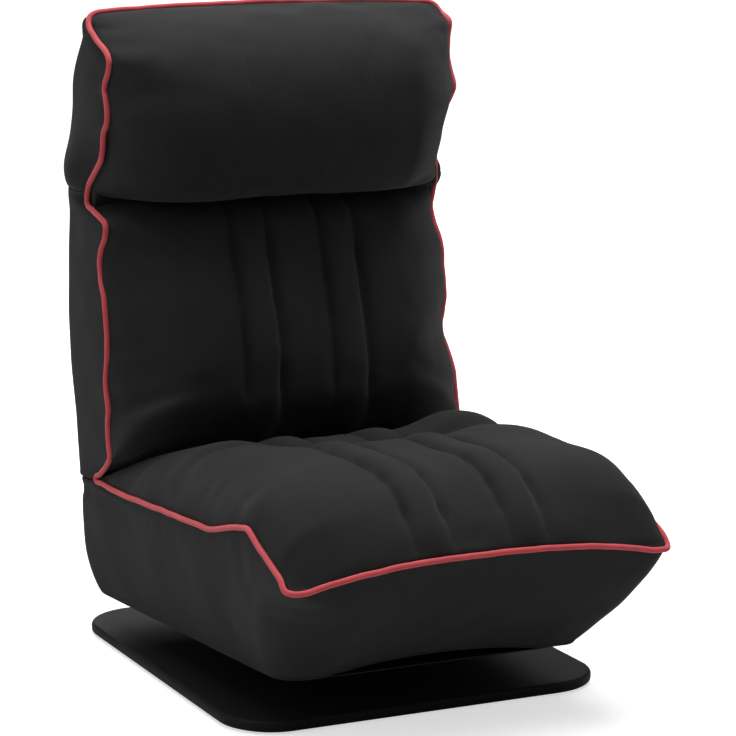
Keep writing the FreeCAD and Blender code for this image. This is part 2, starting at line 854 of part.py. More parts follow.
def strap(x0, x1, y, z, angle, length, half):
    side = ray(0, 0, angle + 90, half)
    end = ray(y, z, angle, length)
    outline = [(y + side[0], z + side[1]), (end[0] + side[0], end[1] + side[1]),
               (end[0] - side[0], end[1] - side[1]), (y - side[0], z - side[1])]
    return side_prism(outline, x0, x1)


def toothed_plate(x, y, z, back, forward, strap_angle):
    end = x + tooth_plate_thickness
    shape = side_prism(tooth_outline(y, z, back, forward), x, end)
    shape = shape.fuse(strap(x, end, y, z, strap_angle, strap_length, strap_half))
    return shape.cut(side_disc(pin_radius, x, end, y, z))


def fork(x, y, z):
    """Arm of two plates, one each side of the toothed plate, with a spacer above it."""
    far_side = x + arm_thickness + 2 * fit_gap + tooth_plate_thickness
    plates = []
    for start in (x, far_side):
        end = start + arm_thickness
        plates.append(side_disc(arm_radius, start, end, y, z).fuse(
            strap(start, end, y, z, 90, arm_length, strap_half)))
    low = z + spacer_start
    high = low + arm_spacer_length
    spacer = block(x + arm_thickness, far_side, y - strap_half, y + strap_half, low, high)
    shape = plates[0].fuse([spacer, plates[1]])
    return shape.cut(side_disc(pin_radius + running_clearance, x, far_side + arm_thickness, y, z))


def hinge_pin(x, y, z):
    inner = x - fit_gap
    outer = x + 2 * arm_thickness + 3 * fit_gap + tooth_plate_thickness
    shank = side_disc(pin_radius, inner - pin_head_height, outer + pin_head_height, y, z)
    heads = [side_disc(pin_head_radius, start, start + pin_head_height, y, z)
             for start in (inner - pin_head_height, outer)]
    return shank.fuse(heads)


def pawl(x, y, z):
    inner = x + arm_thickness
    outer = inner + 2 * fit_gap + tooth_plate_thickness
    tip = z + hinge_radius + fit_gap
    top = tip + pawl_height
    middle = (inner + outer) / 2
    half_tip = tooth_depth / 2
    outline = [(y - half_tip, tip), (y + half_tip, tip), (y + pawl_boss, top), (y - pawl_boss, top)]
    blade = side_prism(outline, middle - pawl_thickness / 2, middle + pawl_thickness / 2)
    return blade.fuse(side_disc(pawl_boss, inner, outer, y, top))


def pawl_spring(x, y, z):
    inner = x + arm_thickness + fit_gap
    low = z + hinge_radius + fit_gap + pawl_height
    return block(inner, inner + tooth_plate_thickness, y + pawl_boss, y + pawl_boss + spring_wire,
                 low, z + spacer_start)


def hinge_pads():
    ball = (hinge_pad_radius ** 2 + hinge_pad_height ** 2) / (2 * hinge_pad_height)
    face = half_width + fit_gap
    centre = V(face + hinge_pad_height - ball, axis_y + hinge_pad_setback, head_z + hinge_pad_lift)
    dome = Part.makeSphere(ball, centre)
    return dome.common(block(face, face + hinge_pad_height, axis_y - far, axis_y + far, 0, top_z))


def save_hinge(name, arm_x, z, back, forward, strap_angle, save_both):
    plate_x = arm_x + arm_thickness + fit_gap
    save_both("%s_toothed_plate" % name, toothed_plate(plate_x, axis_y, z, back, forward, strap_angle))
    save_both("%s_arm" % name, fork(arm_x, axis_y, z))
    save_pair("%s_pins" % name, hinge_pin(arm_x, axis_y, z))
    save_pair("%s_pawls" % name, pawl(arm_x, axis_y, z))
    save_pair("%s_pawl_springs" % name, pawl_spring(arm_x, axis_y, z))


os.makedirs("parts", exist_ok=True)

save("base_plate", base_plate())
save("base_mat", base_mat())
save("swivel_lower_plate", swivel_lower_plate())
save("swivel_pivot", swivel_pivot())
save("base_screws", base_screws())
save("ball_cage", ball_cage())
save("swivel_balls", swivel_balls())

save("swivel_upper_plate", swivel_upper_plate())
save("swivel_riser", swivel_riser())
save("swivel_bolts", swivel_bolts())
save("mounting_plate", mounting_plate())
save("cross_tubes", cross_tubes())
save("support_legs", support_legs())
save_sides("seat_rail", tube(*seat_rail_ends, rail_radius))
save("seat_cross_rails", seat_cross_rails())
save("seat_webbing", seat_webbing())
save("seat_foam", seat_foam())
save("seat_cushion", seat_cushion())
seat_panels()
save("seat_bottom_cover", seat_bottom_cover())
save("seat_rear_gusset", seat_rear_gusset())
save("seat_piping", seat_piping())

seat_strap_angle = 180 + math.degrees(math.atan(seat_rail_drop / strap_length))
save_hinge("recline", back_arm_x, axis_z, recline_back, recline_forward, seat_strap_angle, save_sides)
save_sides("back_rail", upright_rail(back_rail_x, back_rail_low, back_rail_high))
save("back_cross_rails", back_cross_rails())
save("back_webbing", upright_webbing(back_rail_x, back_rail_low + 2 * rail_radius,
                                     back_rail_high - 3 * rail_radius, back_strap_count))
save("back_foam", upright_foam(back_section_shares[2:-3], axis_z, back_length, back_piping_depth))
save("back_cushion", back_cushion())
back_panels()
save_sides("back_piping", back_piping())

save_hinge("head", head_arm_x, head_z, head_back, head_forward, 270, save_pair)
save_pair("head_rails", upright_rail(head_rail_x, head_rail_low, head_rail_top + rail_radius))
save("head_top_rail", upright_cross_rail(head_rail_x, head_rail_top))
save("head_webbing", upright_webbing(head_rail_x, head_rail_low, head_rail_top - rail_radius,
                                     head_strap_count))
save("head_foam", upright_foam(head_section_shares[4:-5], head_z, head_length, head_piping_depth))
head_pillow_and_roll()
head_panels()
save("head_piping", head_piping())
save_pair("head_hinge_pads", hinge_pads())
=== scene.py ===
import bpy
import math
import numpy as np
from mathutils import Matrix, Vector


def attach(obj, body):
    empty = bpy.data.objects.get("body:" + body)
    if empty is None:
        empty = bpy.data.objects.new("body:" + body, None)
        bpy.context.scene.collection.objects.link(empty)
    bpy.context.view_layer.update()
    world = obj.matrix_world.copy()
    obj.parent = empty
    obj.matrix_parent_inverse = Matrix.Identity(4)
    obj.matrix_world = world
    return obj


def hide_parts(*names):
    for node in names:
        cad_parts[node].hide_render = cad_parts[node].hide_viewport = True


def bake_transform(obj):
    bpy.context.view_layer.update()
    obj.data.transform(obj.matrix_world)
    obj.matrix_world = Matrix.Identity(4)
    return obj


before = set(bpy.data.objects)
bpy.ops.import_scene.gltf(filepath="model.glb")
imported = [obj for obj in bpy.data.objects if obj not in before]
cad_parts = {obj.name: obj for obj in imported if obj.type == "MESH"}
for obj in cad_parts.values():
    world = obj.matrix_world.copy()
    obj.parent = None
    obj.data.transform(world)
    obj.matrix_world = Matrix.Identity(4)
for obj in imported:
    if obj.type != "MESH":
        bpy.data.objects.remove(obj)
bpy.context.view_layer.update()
scene = bpy.context.scene

# Photo stand: the camera at the photograph's angle, a plain white floor that only keeps a soft shadow,
# and wide soft lamps above, behind and on both sides, so that upward and left faces are a little lighter.
scene.view_settings.view_transform = "Standard"


def put(name, data):
    """A new object in the scene."""
    made = bpy.data.objects.new(name, data)
    scene.collection.objects.link(made)
    return made


camera = put("camera", bpy.data.cameras.new("camera"))
camera.data.sensor_width = 36
camera.data.lens = 147.59
camera.data.clip_end = 60
camera.location = (-1.5015, -3.2504, 1.0402)
camera.rotation_euler = (math.radians(90 - 10.77), 0, math.radians(-25.46))
scene.camera = camera


def lamp(name, place, target, width, watts):
    """A square soft lamp that faces its target."""
    light = bpy.data.lights.new(name, "AREA")
    light.size = width
    light.energy = watts
    holder = put(name, light)
    holder.location = place
    holder.rotation_euler = (Vector(target) - Vector(place)).to_track_quat("-Z", "Y").to_euler()


lamp("top lamp", (0.1, 0.15, 3.3), (0, 0, 0.3), 2.8, 142)
lamp("left lamp", (-3.2, 0.2, 1.6), (0, 0, 0.4), 2.4, 20)
lamp("right lamp", (3.0, -1.6, 1.8), (0, 0, 0.3), 2.4, 11)
lamp("rear lamp", (0.8, 3.4, 1.9), (0, 0, 0.4), 2.4, 26)

# The room: plain white where the camera sees it, and for everything else a dim light from above that fades
# out below the horizon.
scene.world = bpy.data.worlds.new("room")
scene.world.use_nodes = True
room = scene.world.node_tree


def join(tree, value, entry):
    """Links an output to a node's entry, or sets the entry to a plain value."""
    value = getattr(value, "socket", value)
    if hasattr(value, "is_linked"):
        tree.links.new(value, entry)
    else:
        entry.default_value = value


def step_node(tree, kind, values, **settings):
    """One node of a tree, with its inputs joined or set; gives its outputs."""
    made = tree.nodes.new(kind)
    for key, value in settings.items():
        setattr(made, key, value)
    for label, value in values.items():
        join(tree, value, made.inputs[label])
    return made.outputs


rays = step_node(room, "ShaderNodeLightPath", {})
seen = step_node(room, "ShaderNodeMath", {0: rays["Is Camera Ray"], 1: rays["Is Transmission Ray"]},
                 operation="MAXIMUM")
height = step_node(room, "ShaderNodeSeparateXYZ", {0: step_node(room, "ShaderNodeTexCoord", {})["Generated"]})
above = step_node(room, "ShaderNodeMapRange",
                  {"Value": height["Z"], "From Min": -0.1, "To Min": 0.05, "To Max": 0.36})
brightness = step_node(room, "ShaderNodeMapRange", {"Value": seen[0], "To Min": above[0], "To Max": 1.0})
backdrop = room.nodes["Background"].inputs
backdrop["Color"].default_value = (1, 1, 1, 1)
room.links.new(brightness[0], backdrop["Strength"])


class Value:
    """A shader socket on which plain arithmetic adds Math nodes."""

    def __init__(self, finish, socket):
        self.finish = finish
        self.socket = socket

    def __add__(self, other):
        return self.finish.node("Math", {0: self, 1: other}, operation="ADD")

    def __mul__(self, other):
        return self.finish.node("Math", {0: self, 1: other}, operation="MULTIPLY")

    __radd__ = __add__
    __rmul__ = __mul__


class Finish:
    """One material: the shader's fixed values are set at once, and nodes are fed to the rest."""

    def __init__(self, name, **fixed):
        self.material = bpy.data.materials.new(name)
        self.material.use_nodes = True
        self.tree = self.material.node_tree
        self.shader = self.tree.nodes["Principled BSDF"]
        self.feed(**fixed)
        self.spot = self.node("TexCoord", {}, "Object")

    def node(self, kind, values, output=0, **settings):
        """One output of a new shader node."""
        return Value(self, step_node(self.tree, "ShaderNode" + kind, values, **settings)[output])

    def feed(self, **values):
        """Joins or sets the shader's inputs."""
        for name, value in values.items():
            join(self.tree, value, self.shader.inputs[name.replace("_", " ").title().replace("Ior", "IOR")])

    def noise(self, scale, detail=2.0, roughness=0.5, stretch=None):
        """Soft noise, finer along an axis by its stretch."""
        place = self.node("Mapping", {"Vector": self.spot, "Scale": stretch}) if stretch else self.spot
        return self.node("TexNoise", {"Vector": place, "Scale": scale, "Detail": detail, "Roughness": roughness})

    def cells(self, scale, output="Distance"):
        """Small irregular cells, as the distance from their middles or as a colour for each."""
        return self.node("TexVoronoi", {"Vector": self.spot, "Scale": scale}, output)

    def wave(self, scale, distortion, direction):
        """Parallel ribs across a direction."""
        values = {"Vector": self.spot, "Scale": scale, "Distortion": distortion}
        return self.node("TexWave", values, bands_direction=direction)

    def ramp(self, value, start, end):
        """How far a value has come from a start to an end, from 0 to 1."""
        return self.node("MapRange", {"Value": value, "From Min": start, "From Max": end})

    def blend(self, share, low, high):
        """A colour between two others."""
        return self.node("Mix", {"Factor": share, 6: (*low, 1), 7: (*high, 1)}, 2, data_type="RGBA")

    def bumps(self, height, depth, strength=1.0):
        """A relief of a depth in metres."""
        return self.node("Bump", {"Height": height, "Distance": depth, "Strength": strength})


floor = put("floor", bpy.data.meshes.new("floor"))
floor_reach = 14.0
floor.data.from_pydata([(sx * floor_reach, sy * floor_reach, 0) for sx, sy in ((-1, -1), (1, -1), (1, 1), (-1, 1))],
                       [], [(0, 1, 2, 3)])
white = Finish("white floor", base_color=(0.68, 0.68, 0.68, 1), roughness=0.9, specular_ior_level=0.1)
seen_directly = white.node("LightPath", {}, "Is Camera Ray")
away = white.node("VectorMath", {0: white.spot}, 1, operation="LENGTH")
fade = white.node("MapRange", {"Value": away, "From Min": 0.5, "From Max": 2.6, "To Min": 0.60})
glow = white.node("Emission", {"Color": (1, 1, 1, 1), "Strength": seen_directly * fade})
both = white.node("AddShader", {0: white.shader.outputs[0], 1: glow})
join(white.tree, both, white.tree.nodes["Material Output"].inputs["Surface"])
floor.data.materials.append(white.material)

# Base plate: a lacquered fibreboard slab with rounded edges that stands on a thin rubber mat.
# Its satin black lacquer has a faint orange peel and a few scuffs along the rim.
lacquer = Finish("black lacquer", specular_ior_level=0.07)
cloud = lacquer.noise(7.0, 3.0)
peel = lacquer.noise(420.0, 1.0)
scuffs = lacquer.ramp(lacquer.noise(46.0, 5.0, 0.7, stretch=(1.0, 1.0, 7.0)), 0.60, 0.78)
lacquer.feed(base_color=lacquer.blend(cloud, (0.009, 0.009, 0.0095), (0.014, 0.014, 0.015)),
             roughness=0.46 + 0.10 * cloud + 0.12 * scuffs, normal=lacquer.bumps(peel, 0.00012, 0.5))

rubber = Finish("rubber mat", specular_ior_level=0.3)
grain = rubber.noise(700.0, 2.0)
rubber.feed(base_color=rubber.blend(rubber.noise(20.0), (0.010, 0.010, 0.010), (0.018, 0.018, 0.017)),
            roughness=0.78 + 0.14 * grain, normal=rubber.bumps(grain, 0.0003))


def dress(finish, *nodes):
    """Gives CAD nodes whose shape is kept their finish."""
    for node in nodes:
        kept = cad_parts[node]
        kept.data.materials.clear()
        kept.data.materials.append(finish.material)


dress(lacquer, "base_plate")
dress(rubber, "base_mat")

# Turntable: two zinc plated steel plates pressed with a ball groove, a caged ring of bearing balls, a pivot,
# and the screws and bolts that hold it between the base plate and the riser board.
zinc = Finish("zinc plated steel", metallic=1.0)
spangle = zinc.cells(130.0, "Color")
brushed = zinc.noise(120.0, 4.0, stretch=(1.0, 9.0, 9.0))
tarnish = zinc.ramp(zinc.noise(28.0, 4.0), 0.48, 0.75)
zinc.feed(base_color=zinc.blend(0.25 * spangle + 0.5 * tarnish, (0.60, 0.60, 0.58), (0.36, 0.35, 0.32)),
          roughness=0.30 + 0.16 * brushed + 0.16 * tarnish, normal=zinc.bumps(brushed, 0.00015))

polished = Finish("polished bearing steel", metallic=1.0)
smear = polished.noise(240.0, 3.0)
polished.feed(base_color=polished.blend(smear, (0.70, 0.70, 0.70), (0.58, 0.58, 0.57)),
              roughness=0.08 + 0.12 * smear)

fibreboard = Finish("black painted board", specular_ior_level=0.3)
fibres = fibreboard.noise(260.0, 4.0, stretch=(1.0, 1.0, 5.0))
fibreboard.feed(base_color=fibreboard.blend(fibres, (0.016, 0.014, 0.012), (0.034, 0.030, 0.026)),
                roughness=0.72 + 0.18 * fibres, normal=fibreboard.bumps(fibres, 0.0004))
dress(zinc, "swivel_lower_plate", "swivel_upper_plate", "swivel_pivot", "base_screws", "swivel_bolts", "ball_cage")
dress(polished, "swivel_balls")
dress(fibreboard, "swivel_riser")

# Seat frame: mounting plate, cross tubes, legs and rails of mild steel tube, welded and powder coated black,
# with elastic webbing stretched from rail to rail and a slab of cut foam on it.
powder = Finish("black powder coat", specular_ior_level=0.45)
pimples = powder.noise(900.0, 2.0)
powder.feed(base_color=powder.blend(powder.noise(15.0), (0.012, 0.012, 0.012), (0.022, 0.022, 0.022)),
            roughness=0.42 + 0.16 * pimples, normal=powder.bumps(pimples, 0.00018))

elastic = Finish("elastic webbing", specular_ior_level=0.25)
cords = elastic.wave(90.0, 0.4, "Y")
picks = elastic.wave(240.0, 0.6, "X")
elastic.feed(base_color=elastic.blend(cords * picks, (0.012, 0.012, 0.013), (0.06, 0.06, 0.062)),
             roughness=0.75 + 0.15 * picks, normal=elastic.bumps(cords + 0.5 * picks, 0.0005))

foam = Finish("cut foam", specular_ior_level=0.15)
cells = foam.cells(620.0)
foam.feed(base_color=foam.blend(foam.noise(16.0, 3.0), (0.74, 0.68, 0.52), (0.80, 0.76, 0.64)),
          roughness=0.86 + 0.10 * cells, normal=foam.bumps(cells, 0.0006))
dress(powder, "mounting_plate", "cross_tubes", "support_legs", "seat_rail_left", "seat_rail_right",
      "seat_cross_rails", "back_rail_left", "back_rail_right", "back_cross_rails", "head_rails", "head_top_rail")
dress(elastic, "seat_webbing", "back_webbing", "head_webbing")
dress(foam, "seat_foam")

# Seat cover: charcoal microfibre sewn from a front panel, two sides and a rear panel, drawn in towards the
# bottom and stapled under the frame. The loose rear gusset, which runs up to the back and folds in when the back
# reclines, is not built here.
microfibre = Finish("charcoal microfibre", sheen_weight=0.07, sheen_roughness=0.45, specular_ior_level=0.16,
                    sheen_tint=(0.75, 0.76, 0.80, 1))
nap = microfibre.noise(13.0, 4.0, 0.62)
brushing = microfibre.noise(70.0, 3.0, stretch=(1.0, 1.0, 0.35))
fuzz = microfibre.noise(1500.0, 2.0, 0.7)
knit = microfibre.cells(760.0)
shade = 0.55 * nap + 0.25 * brushing + 0.35 * fuzz
microfibre.feed(base_color=microfibre.blend(shade, (0.0060, 0.0060, 0.0063), (0.0170, 0.0170, 0.0176)),
                roughness=0.76 + 0.16 * fuzz, normal=microfibre.bumps(fuzz + 0.8 * knit, 0.00035, 0.7))

under_cloth = Finish("black bottom cloth", specular_ior_level=0.2)
dots = under_cloth.cells(480.0)
under_cloth.feed(base_color=under_cloth.blend(dots, (0.020, 0.020, 0.020), (0.008, 0.008, 0.008)),
                 roughness=0.82 + 0.1 * dots, normal=under_cloth.bumps(dots, 0.0003))
dress(under_cloth, "seat_bottom_cover")

# Side view of the piping (y, z) and of the crown over the seams (y, z), from the hinge to the front edge.
seat_ribs = np.array((
    (0.206, 0.2030, 0.206, 0.2050), (0.178, 0.2035, 0.178, 0.2140), (0.151, 0.2035, 0.151, 0.2270),
    (0.127, 0.2030, 0.127, 0.2390), (0.088, 0.2045, 0.088, 0.2530), (0.050, 0.2070, 0.050, 0.2665),
    (0.000, 0.2105, 0.000, 0.2790), (-0.036, 0.2130, -0.036, 0.2800), (-0.062, 0.2145, -0.062, 0.2745),
    (-0.088, 0.2160, -0.088, 0.2865), (-0.130, 0.2190, -0.130, 0.2985), (-0.183, 0.2230, -0.183, 0.3025),
    (-0.235, 0.2365, -0.235, 0.3050), (-0.263, 0.2430, -0.263, 0.3060), (-0.295, 0.2460, -0.292, 0.3040),
    (-0.314, 0.2360, -0.312, 0.3000), (-0.335, 0.2270, -0.332, 0.2930), (-0.358, 0.2190, -0.352, 0.2810),
    (-0.373, 0.2130, -0.371, 0.2650), (-0.385, 0.2070, -0.386, 0.2470), (-0.393, 0.2020, -0.3945, 0.2300),
    (-0.398, 0.2000, -0.398, 0.2190)))
half_width = 0.236
seat_front, seat_rear = -0.398, 0.262
rear_corner = 0.030
arch_rise, arch_reach = 0.019, 0.215
cloth_thickness = 0.0025


def ramp(value, start, end):
    """How far a value has come from a start to an end, from 0 to 1."""
    return np.clip((value - start) / (end - start), 0, 1)


def hill(value, centre, width):
    """A smooth rise to 1 at a centre, gone a few widths away."""
    return np.exp(-((value - centre) / width) ** 2)


def noise(points, size, seed):
    """Soft uneven waves of about the given size, mostly from -1 to 1, the same on every run."""
    chance = np.random.default_rng(seed)
    total = np.zeros(points.shape[:-1])
    for turn in range(7):
        way = chance.normal(size=3)
        way *= 2 * math.pi / (size * (0.7 + 0.8 * chance.random()) * np.linalg.norm(way))
        total += np.sin(points @ way + chance.random() * 2 * math.pi)
    return total / 4


def normals(grid, ring=False):
    """Unit normals of a grid of points; a ring closes on itself along its columns."""
    across = np.roll(grid, -1, 1) - np.roll(grid, 1, 1) if ring else np.gradient(grid, axis=1)
    facing = np.cross(across, np.gradient(grid, axis=0))
    return facing / np.maximum(np.linalg.norm(facing, axis=2, keepdims=True), 1e-12)


def shell(name, outer, inner, finish, ring=False):
    """A closed piece with an outer and an inner grid of points, joined round their edges."""
    count = outer.shape[0] * outer.shape[1]
    spots = np.arange(count).reshape(outer.shape[:2])
    if ring:
        spots = np.hstack([spots, spots[:, :1]])
        edges = [spots[0], spots[-1, ::-1]]
    else:
        edges = [np.concatenate([spots[0], spots[1:, -1], spots[-1, -2::-1], spots[-2::-1, 0]])]
    quads = np.dstack([spots[:-1, :-1], spots[:-1, 1:], spots[1:, 1:], spots[1:, :-1]]).reshape(-1, 4)
    faces = [quads, quads[:, ::-1] + count]
    faces += [np.column_stack([edge[1:], edge[:-1], edge[:-1] + count, edge[1:] + count]) for edge in edges]
    mesh = bpy.data.meshes.new(name)
    mesh.from_pydata(np.concatenate([outer.reshape(-1, 3), inner.reshape(-1, 3)]).tolist(), [],
                     np.concatenate(faces).tolist())
    mesh.materials.append(finish.material)
    mesh.update()
    return put(name, mesh)


def settle(piece, subdivide=0):
    """Finishes a piece as one plain smooth mesh with nothing live on it."""
    if subdivide:
        rounded = piece.modifiers.new("rounded", "SUBSURF")
        rounded.levels = rounded.render_levels = subdivide
    view = bpy.context.evaluated_depsgraph_get()
    mesh = bpy.data.meshes.new_from_object(piece.evaluated_get(view), depsgraph=view)
    piece.modifiers.clear()
    piece.data = mesh
    mesh.shade_smooth()
    return piece


def read(rows, field="co"):
    """A field of a mesh's vertices."""
    values = np.empty(len(rows) * 3)
    rows.foreach_get(field, values)
    return values.reshape(-1, 3)


def grid_points(piece, shape):
    """The finished places of the outer grid's own points, and the way they face."""
    return [found[:shape[0] * shape[1]].reshape(*shape, 3)
            for found in (read(piece.data.vertices), read(piece.data.vertex_normals, "vector"))]


def edge_z(y):
    """Height of the seat's piping at a place along its side."""
    order = np.argsort(seat_ribs[:, 0])
    return np.interp(y, seat_ribs[order, 0], seat_ribs[order, 1])


def arch(x):
    """The front edge's arch, from 0 near the corners to 1 in the middle."""
    return np.clip(1 - (np.abs(x) / arch_reach) ** 2.6, 0, 1)


def front_z(x):
    """Height of the piping across the front edge."""
    return seat_ribs[-1, 1] + arch_rise * arch(x)


def outline(half_front, half_rear, front, rear, corner_front, corner_rear, counts):
    """Points round half a plan with rounded corners, from the middle of the rear to the middle of the front."""
    rear_run, rear_turn, side_run, front_turn, front_run = counts
    points = [(x, rear) for x in np.linspace(0, half_rear - corner_rear, rear_run, endpoint=False)]
    for turn in np.linspace(0, math.pi / 2, rear_turn, endpoint=False):
        points.append((half_rear - corner_rear + corner_rear * math.sin(turn),
                       rear - corner_rear + corner_rear * math.cos(turn)))
    for share in np.linspace(0, 1, side_run, endpoint=False):
        points.append((half_rear + (half_front - half_rear) * share,
                       (rear - corner_rear) + (front + corner_front - rear + corner_rear) * share))
    for turn in np.linspace(0, math.pi / 2, front_turn, endpoint=False):
        points.append((half_front - corner_front + corner_front * math.cos(turn),
                       front + corner_front - corner_front * math.sin(turn)))
    points += [(x, front) for x in np.linspace(half_front - corner_front, 0, front_run)]
    return np.array(points)


loop_counts = (26, 8, 84, 18, 30)
front_draw, rear_draw, front_slope, rear_slope = 0.043, 0.009, 0.122, 0.006
tuck_start, side_tuck, rear_tuck, corner_tuck = 0.62, 0.002, 0.006, 0.014
share = np.linspace(0, 1, 34)[:, None]
keys = (0, 0.06, 0.16, 0.32, 0.60, 1)
corners = np.interp(share, keys, (0.014, 0.014, 0.016, 0.018, 0.020, 0.022))
left_corners = np.interp(share, keys, (0.014, 0.028, 0.050, 0.068, 0.062, 0.036))
layers = []
for drop, corner, left_corner in np.hstack([share, corners, left_corners]):
    tuck = ramp(drop, tuck_start, 1) ** 2
    halves = [outline(half_width - front_draw * drop, half_width - rear_draw * drop - side_tuck * tuck,
                      seat_front + front_slope * drop, seat_rear + 0.002 - rear_slope * drop - rear_tuck * tuck,
                      radius, rear_corner + corner_tuck * tuck, loop_counts) for radius in (corner, left_corner)]
    layers.append(np.concatenate([halves[0], halves[1][-2:0:-1] * (-1, 1)]))
layers = np.array(layers)
top, bottom = layers[0], layers[-1]
on_front = top[:, 1] < seat_front + 1e-6
side_top = np.where(top[:, 1] > 0.206, 0.2015, edge_z(top[:, 1]))
side_top = np.where(on_front, front_z(top[:, 0]), side_top) - 0.001
hem_heights = (0.066, 0.063, 0.055)
hem = np.interp(bottom[:, 1], (-0.276, -0.20, 0.256), hem_heights)
hem += 0.012 * np.clip(1 - (np.abs(bottom[:, 0]) / 0.14) ** 2, 0, 1) * (bottom[:, 1] < -0.27)
cover = np.dstack([layers, side_top[None] + (hem - side_top)[None] * share])
share = share[..., None]
facing = normals(cover, True)
towards_front = ramp(cover[..., 1], 0, -0.40)
swell = (0.0055 + 0.004 * towards_front) * np.sin(math.pi * share[..., 0]) ** 0.9
waves = 0.0020 * noise(cover * (1, 1, 0.7), 0.18, 3) + 0.0005 * noise(cover, 0.06, 4)
upper = hill(share[..., 0], 0, 0.16)
puckers = 0.0013 * upper * noise(cover * (1, 1, 0.25), 0.030, 5) * (0.5 + 0.5 * noise(cover, 0.12, 7))
level = cover[..., 2]
peak = hill(cover[..., 1], -0.300, 0.050) * hill(level, 0.205, 0.045)
drag = 0.0015 * peak * noise(cover * (1, 1, 0.4), 0.034, 6)
rear_share = ramp(cover[..., 1], 0.02, 0.22)
roll = hill(level, 0.1945, 0.0035) - hill(level, 0.1895, 0.0025) - 0.8 * hill(level, 0.1800, 0.003)
fade = np.sin(math.pi * share[..., 0]) ** 0.4
move = swell + (waves + drag) * fade + puckers * (1 - hill(share[..., 0], 0, 0.05)) + 0.0026 * roll * rear_share
cover = cover + facing * move[..., None]
turned = []
for inward, drop in ((0.002, -0.0035), (0.006, -0.0045), (0.012, -0.003), (0.020, 0.001)):
    row = cover[-1] - facing[-1] * (1, 1, 0) * inward
    row[:, 2] = cover[-1][:, 2] + drop
    turned.append(row)
cover = np.concatenate([cover, np.array(turned)])
seat_cover = shell("seat_cover", cover, cover - normals(cover, True) * cloth_thickness, microfibre, True)
settle(seat_cover, 1)
hem_places = grid_points(seat_cover, cover.shape[:2])[0]
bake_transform(seat_cover)
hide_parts("seat_front_panel", "seat_side_panel_left", "seat_side_panel_right", "seat_rear_panel",
            "seat_rear_gusset")

# Seat cushion: foam and wadding under one piece of microfibre, sewn down along four channels from the back to
# the front edge and across once near the sitter's hips, and closed by the piping seam round its rim.
seam_places = (0.035, 0.083)
wing_start = 0.146
tuft_y = -0.062
corner_radius = 0.014
spacing = 0.006


def columns():
    """Places across a cushion, with a column on every seam."""
    beside = 0.0025
    first, second = seam_places
    x = np.concatenate([np.linspace(0, first - beside, 6), [first], np.linspace(first + beside, second - beside, 8),
                        [second], np.linspace(second + beside, wing_start, 10)[:-1]])
    x = np.concatenate([x, wing_start + (half_width - wing_start) * np.sin(np.linspace(0, math.pi / 2, 21))])
    return np.concatenate([-x[:0:-1], x])


def wing(x, power, rise):
    """How much of a cushion's crown each place across it has: full between the wings, none at the piping."""
    shoulder = np.sin(math.pi / 2 * ramp(np.abs(x), seam_places[1], wing_start)) ** 2
    turn = ramp(np.abs(x), wing_start, half_width)
    return (1 + (rise - 1) * shoulder) * (1 - turn ** power) ** (1 / power)


def corner_share(turn):
    """How wide a rounded corner leaves a cushion, as a share of its width, while it turns from 0 to 1."""
    return 1 - corner_radius * (1 - np.sqrt(1 - turn * turn)) / half_width


def smooth(keys, rows, at):
    """Points of a smooth curve through the rows, at any places between their keys."""
    slopes = np.gradient(rows, keys, axis=0)
    i = np.clip(np.searchsorted(keys, at, side="right") - 1, 0, len(keys) - 2)
    step = (keys[i + 1] - keys[i])[:, None]
    t = (at - keys[i])[:, None] / step
    start = (1 + 2 * t) * (1 - t) ** 2 * rows[i] + t * (1 - t) ** 2 * step * slopes[i]
    return start + t * t * (3 - 2 * t) * rows[i + 1] + t * t * (t - 1) * step * slopes[i + 1]


def lengths(rows):
    """How far along a run of points each one is."""
    return np.concatenate([[0], np.cumsum(np.linalg.norm(np.diff(rows, axis=0), axis=1))])


def even(rows, step, track=lambda rows: rows, fineness=40):
    """The same smooth curve as a run of rows that are evenly spaced along their track."""
    keys = lengths(track(rows))
    dense = smooth(keys, rows, np.linspace(0, keys[-1], fineness * len(rows)))
    run = lengths(track(dense))
    places = np.linspace(0, run[-1], round(run[-1] / step) + 1)
    return np.array([np.interp(places, run, column) for column in dense.T]).T


def rib_rows(ribs, step):
    """Ribs between the given ones, evenly spaced along a line two thirds of the way from piping to crown."""
    return even(ribs, step, lambda rows: (rows[:, :2] + 2 * rows[:, 2:]) / 3, 30)


def from_seam(across):
    """How far each place across a cushion is from its nearest channel seam."""
    return np.min([np.abs(across - seam) for seam in seam_places], axis=0)


def bands(across, depth, width):
    """Grooves over the channel seams, with the thread's own sharper pull at the bottom."""
    return sum(depth * hill(across, seam, width) + 0.0030 * hill(across, seam, 0.0016) for seam in seam_places)


def swelled(x, height):
    """How far the bands between the channel seams stand out."""
    return (np.sin(math.pi * ramp(np.abs(x), *seam_places)) * height)[None]


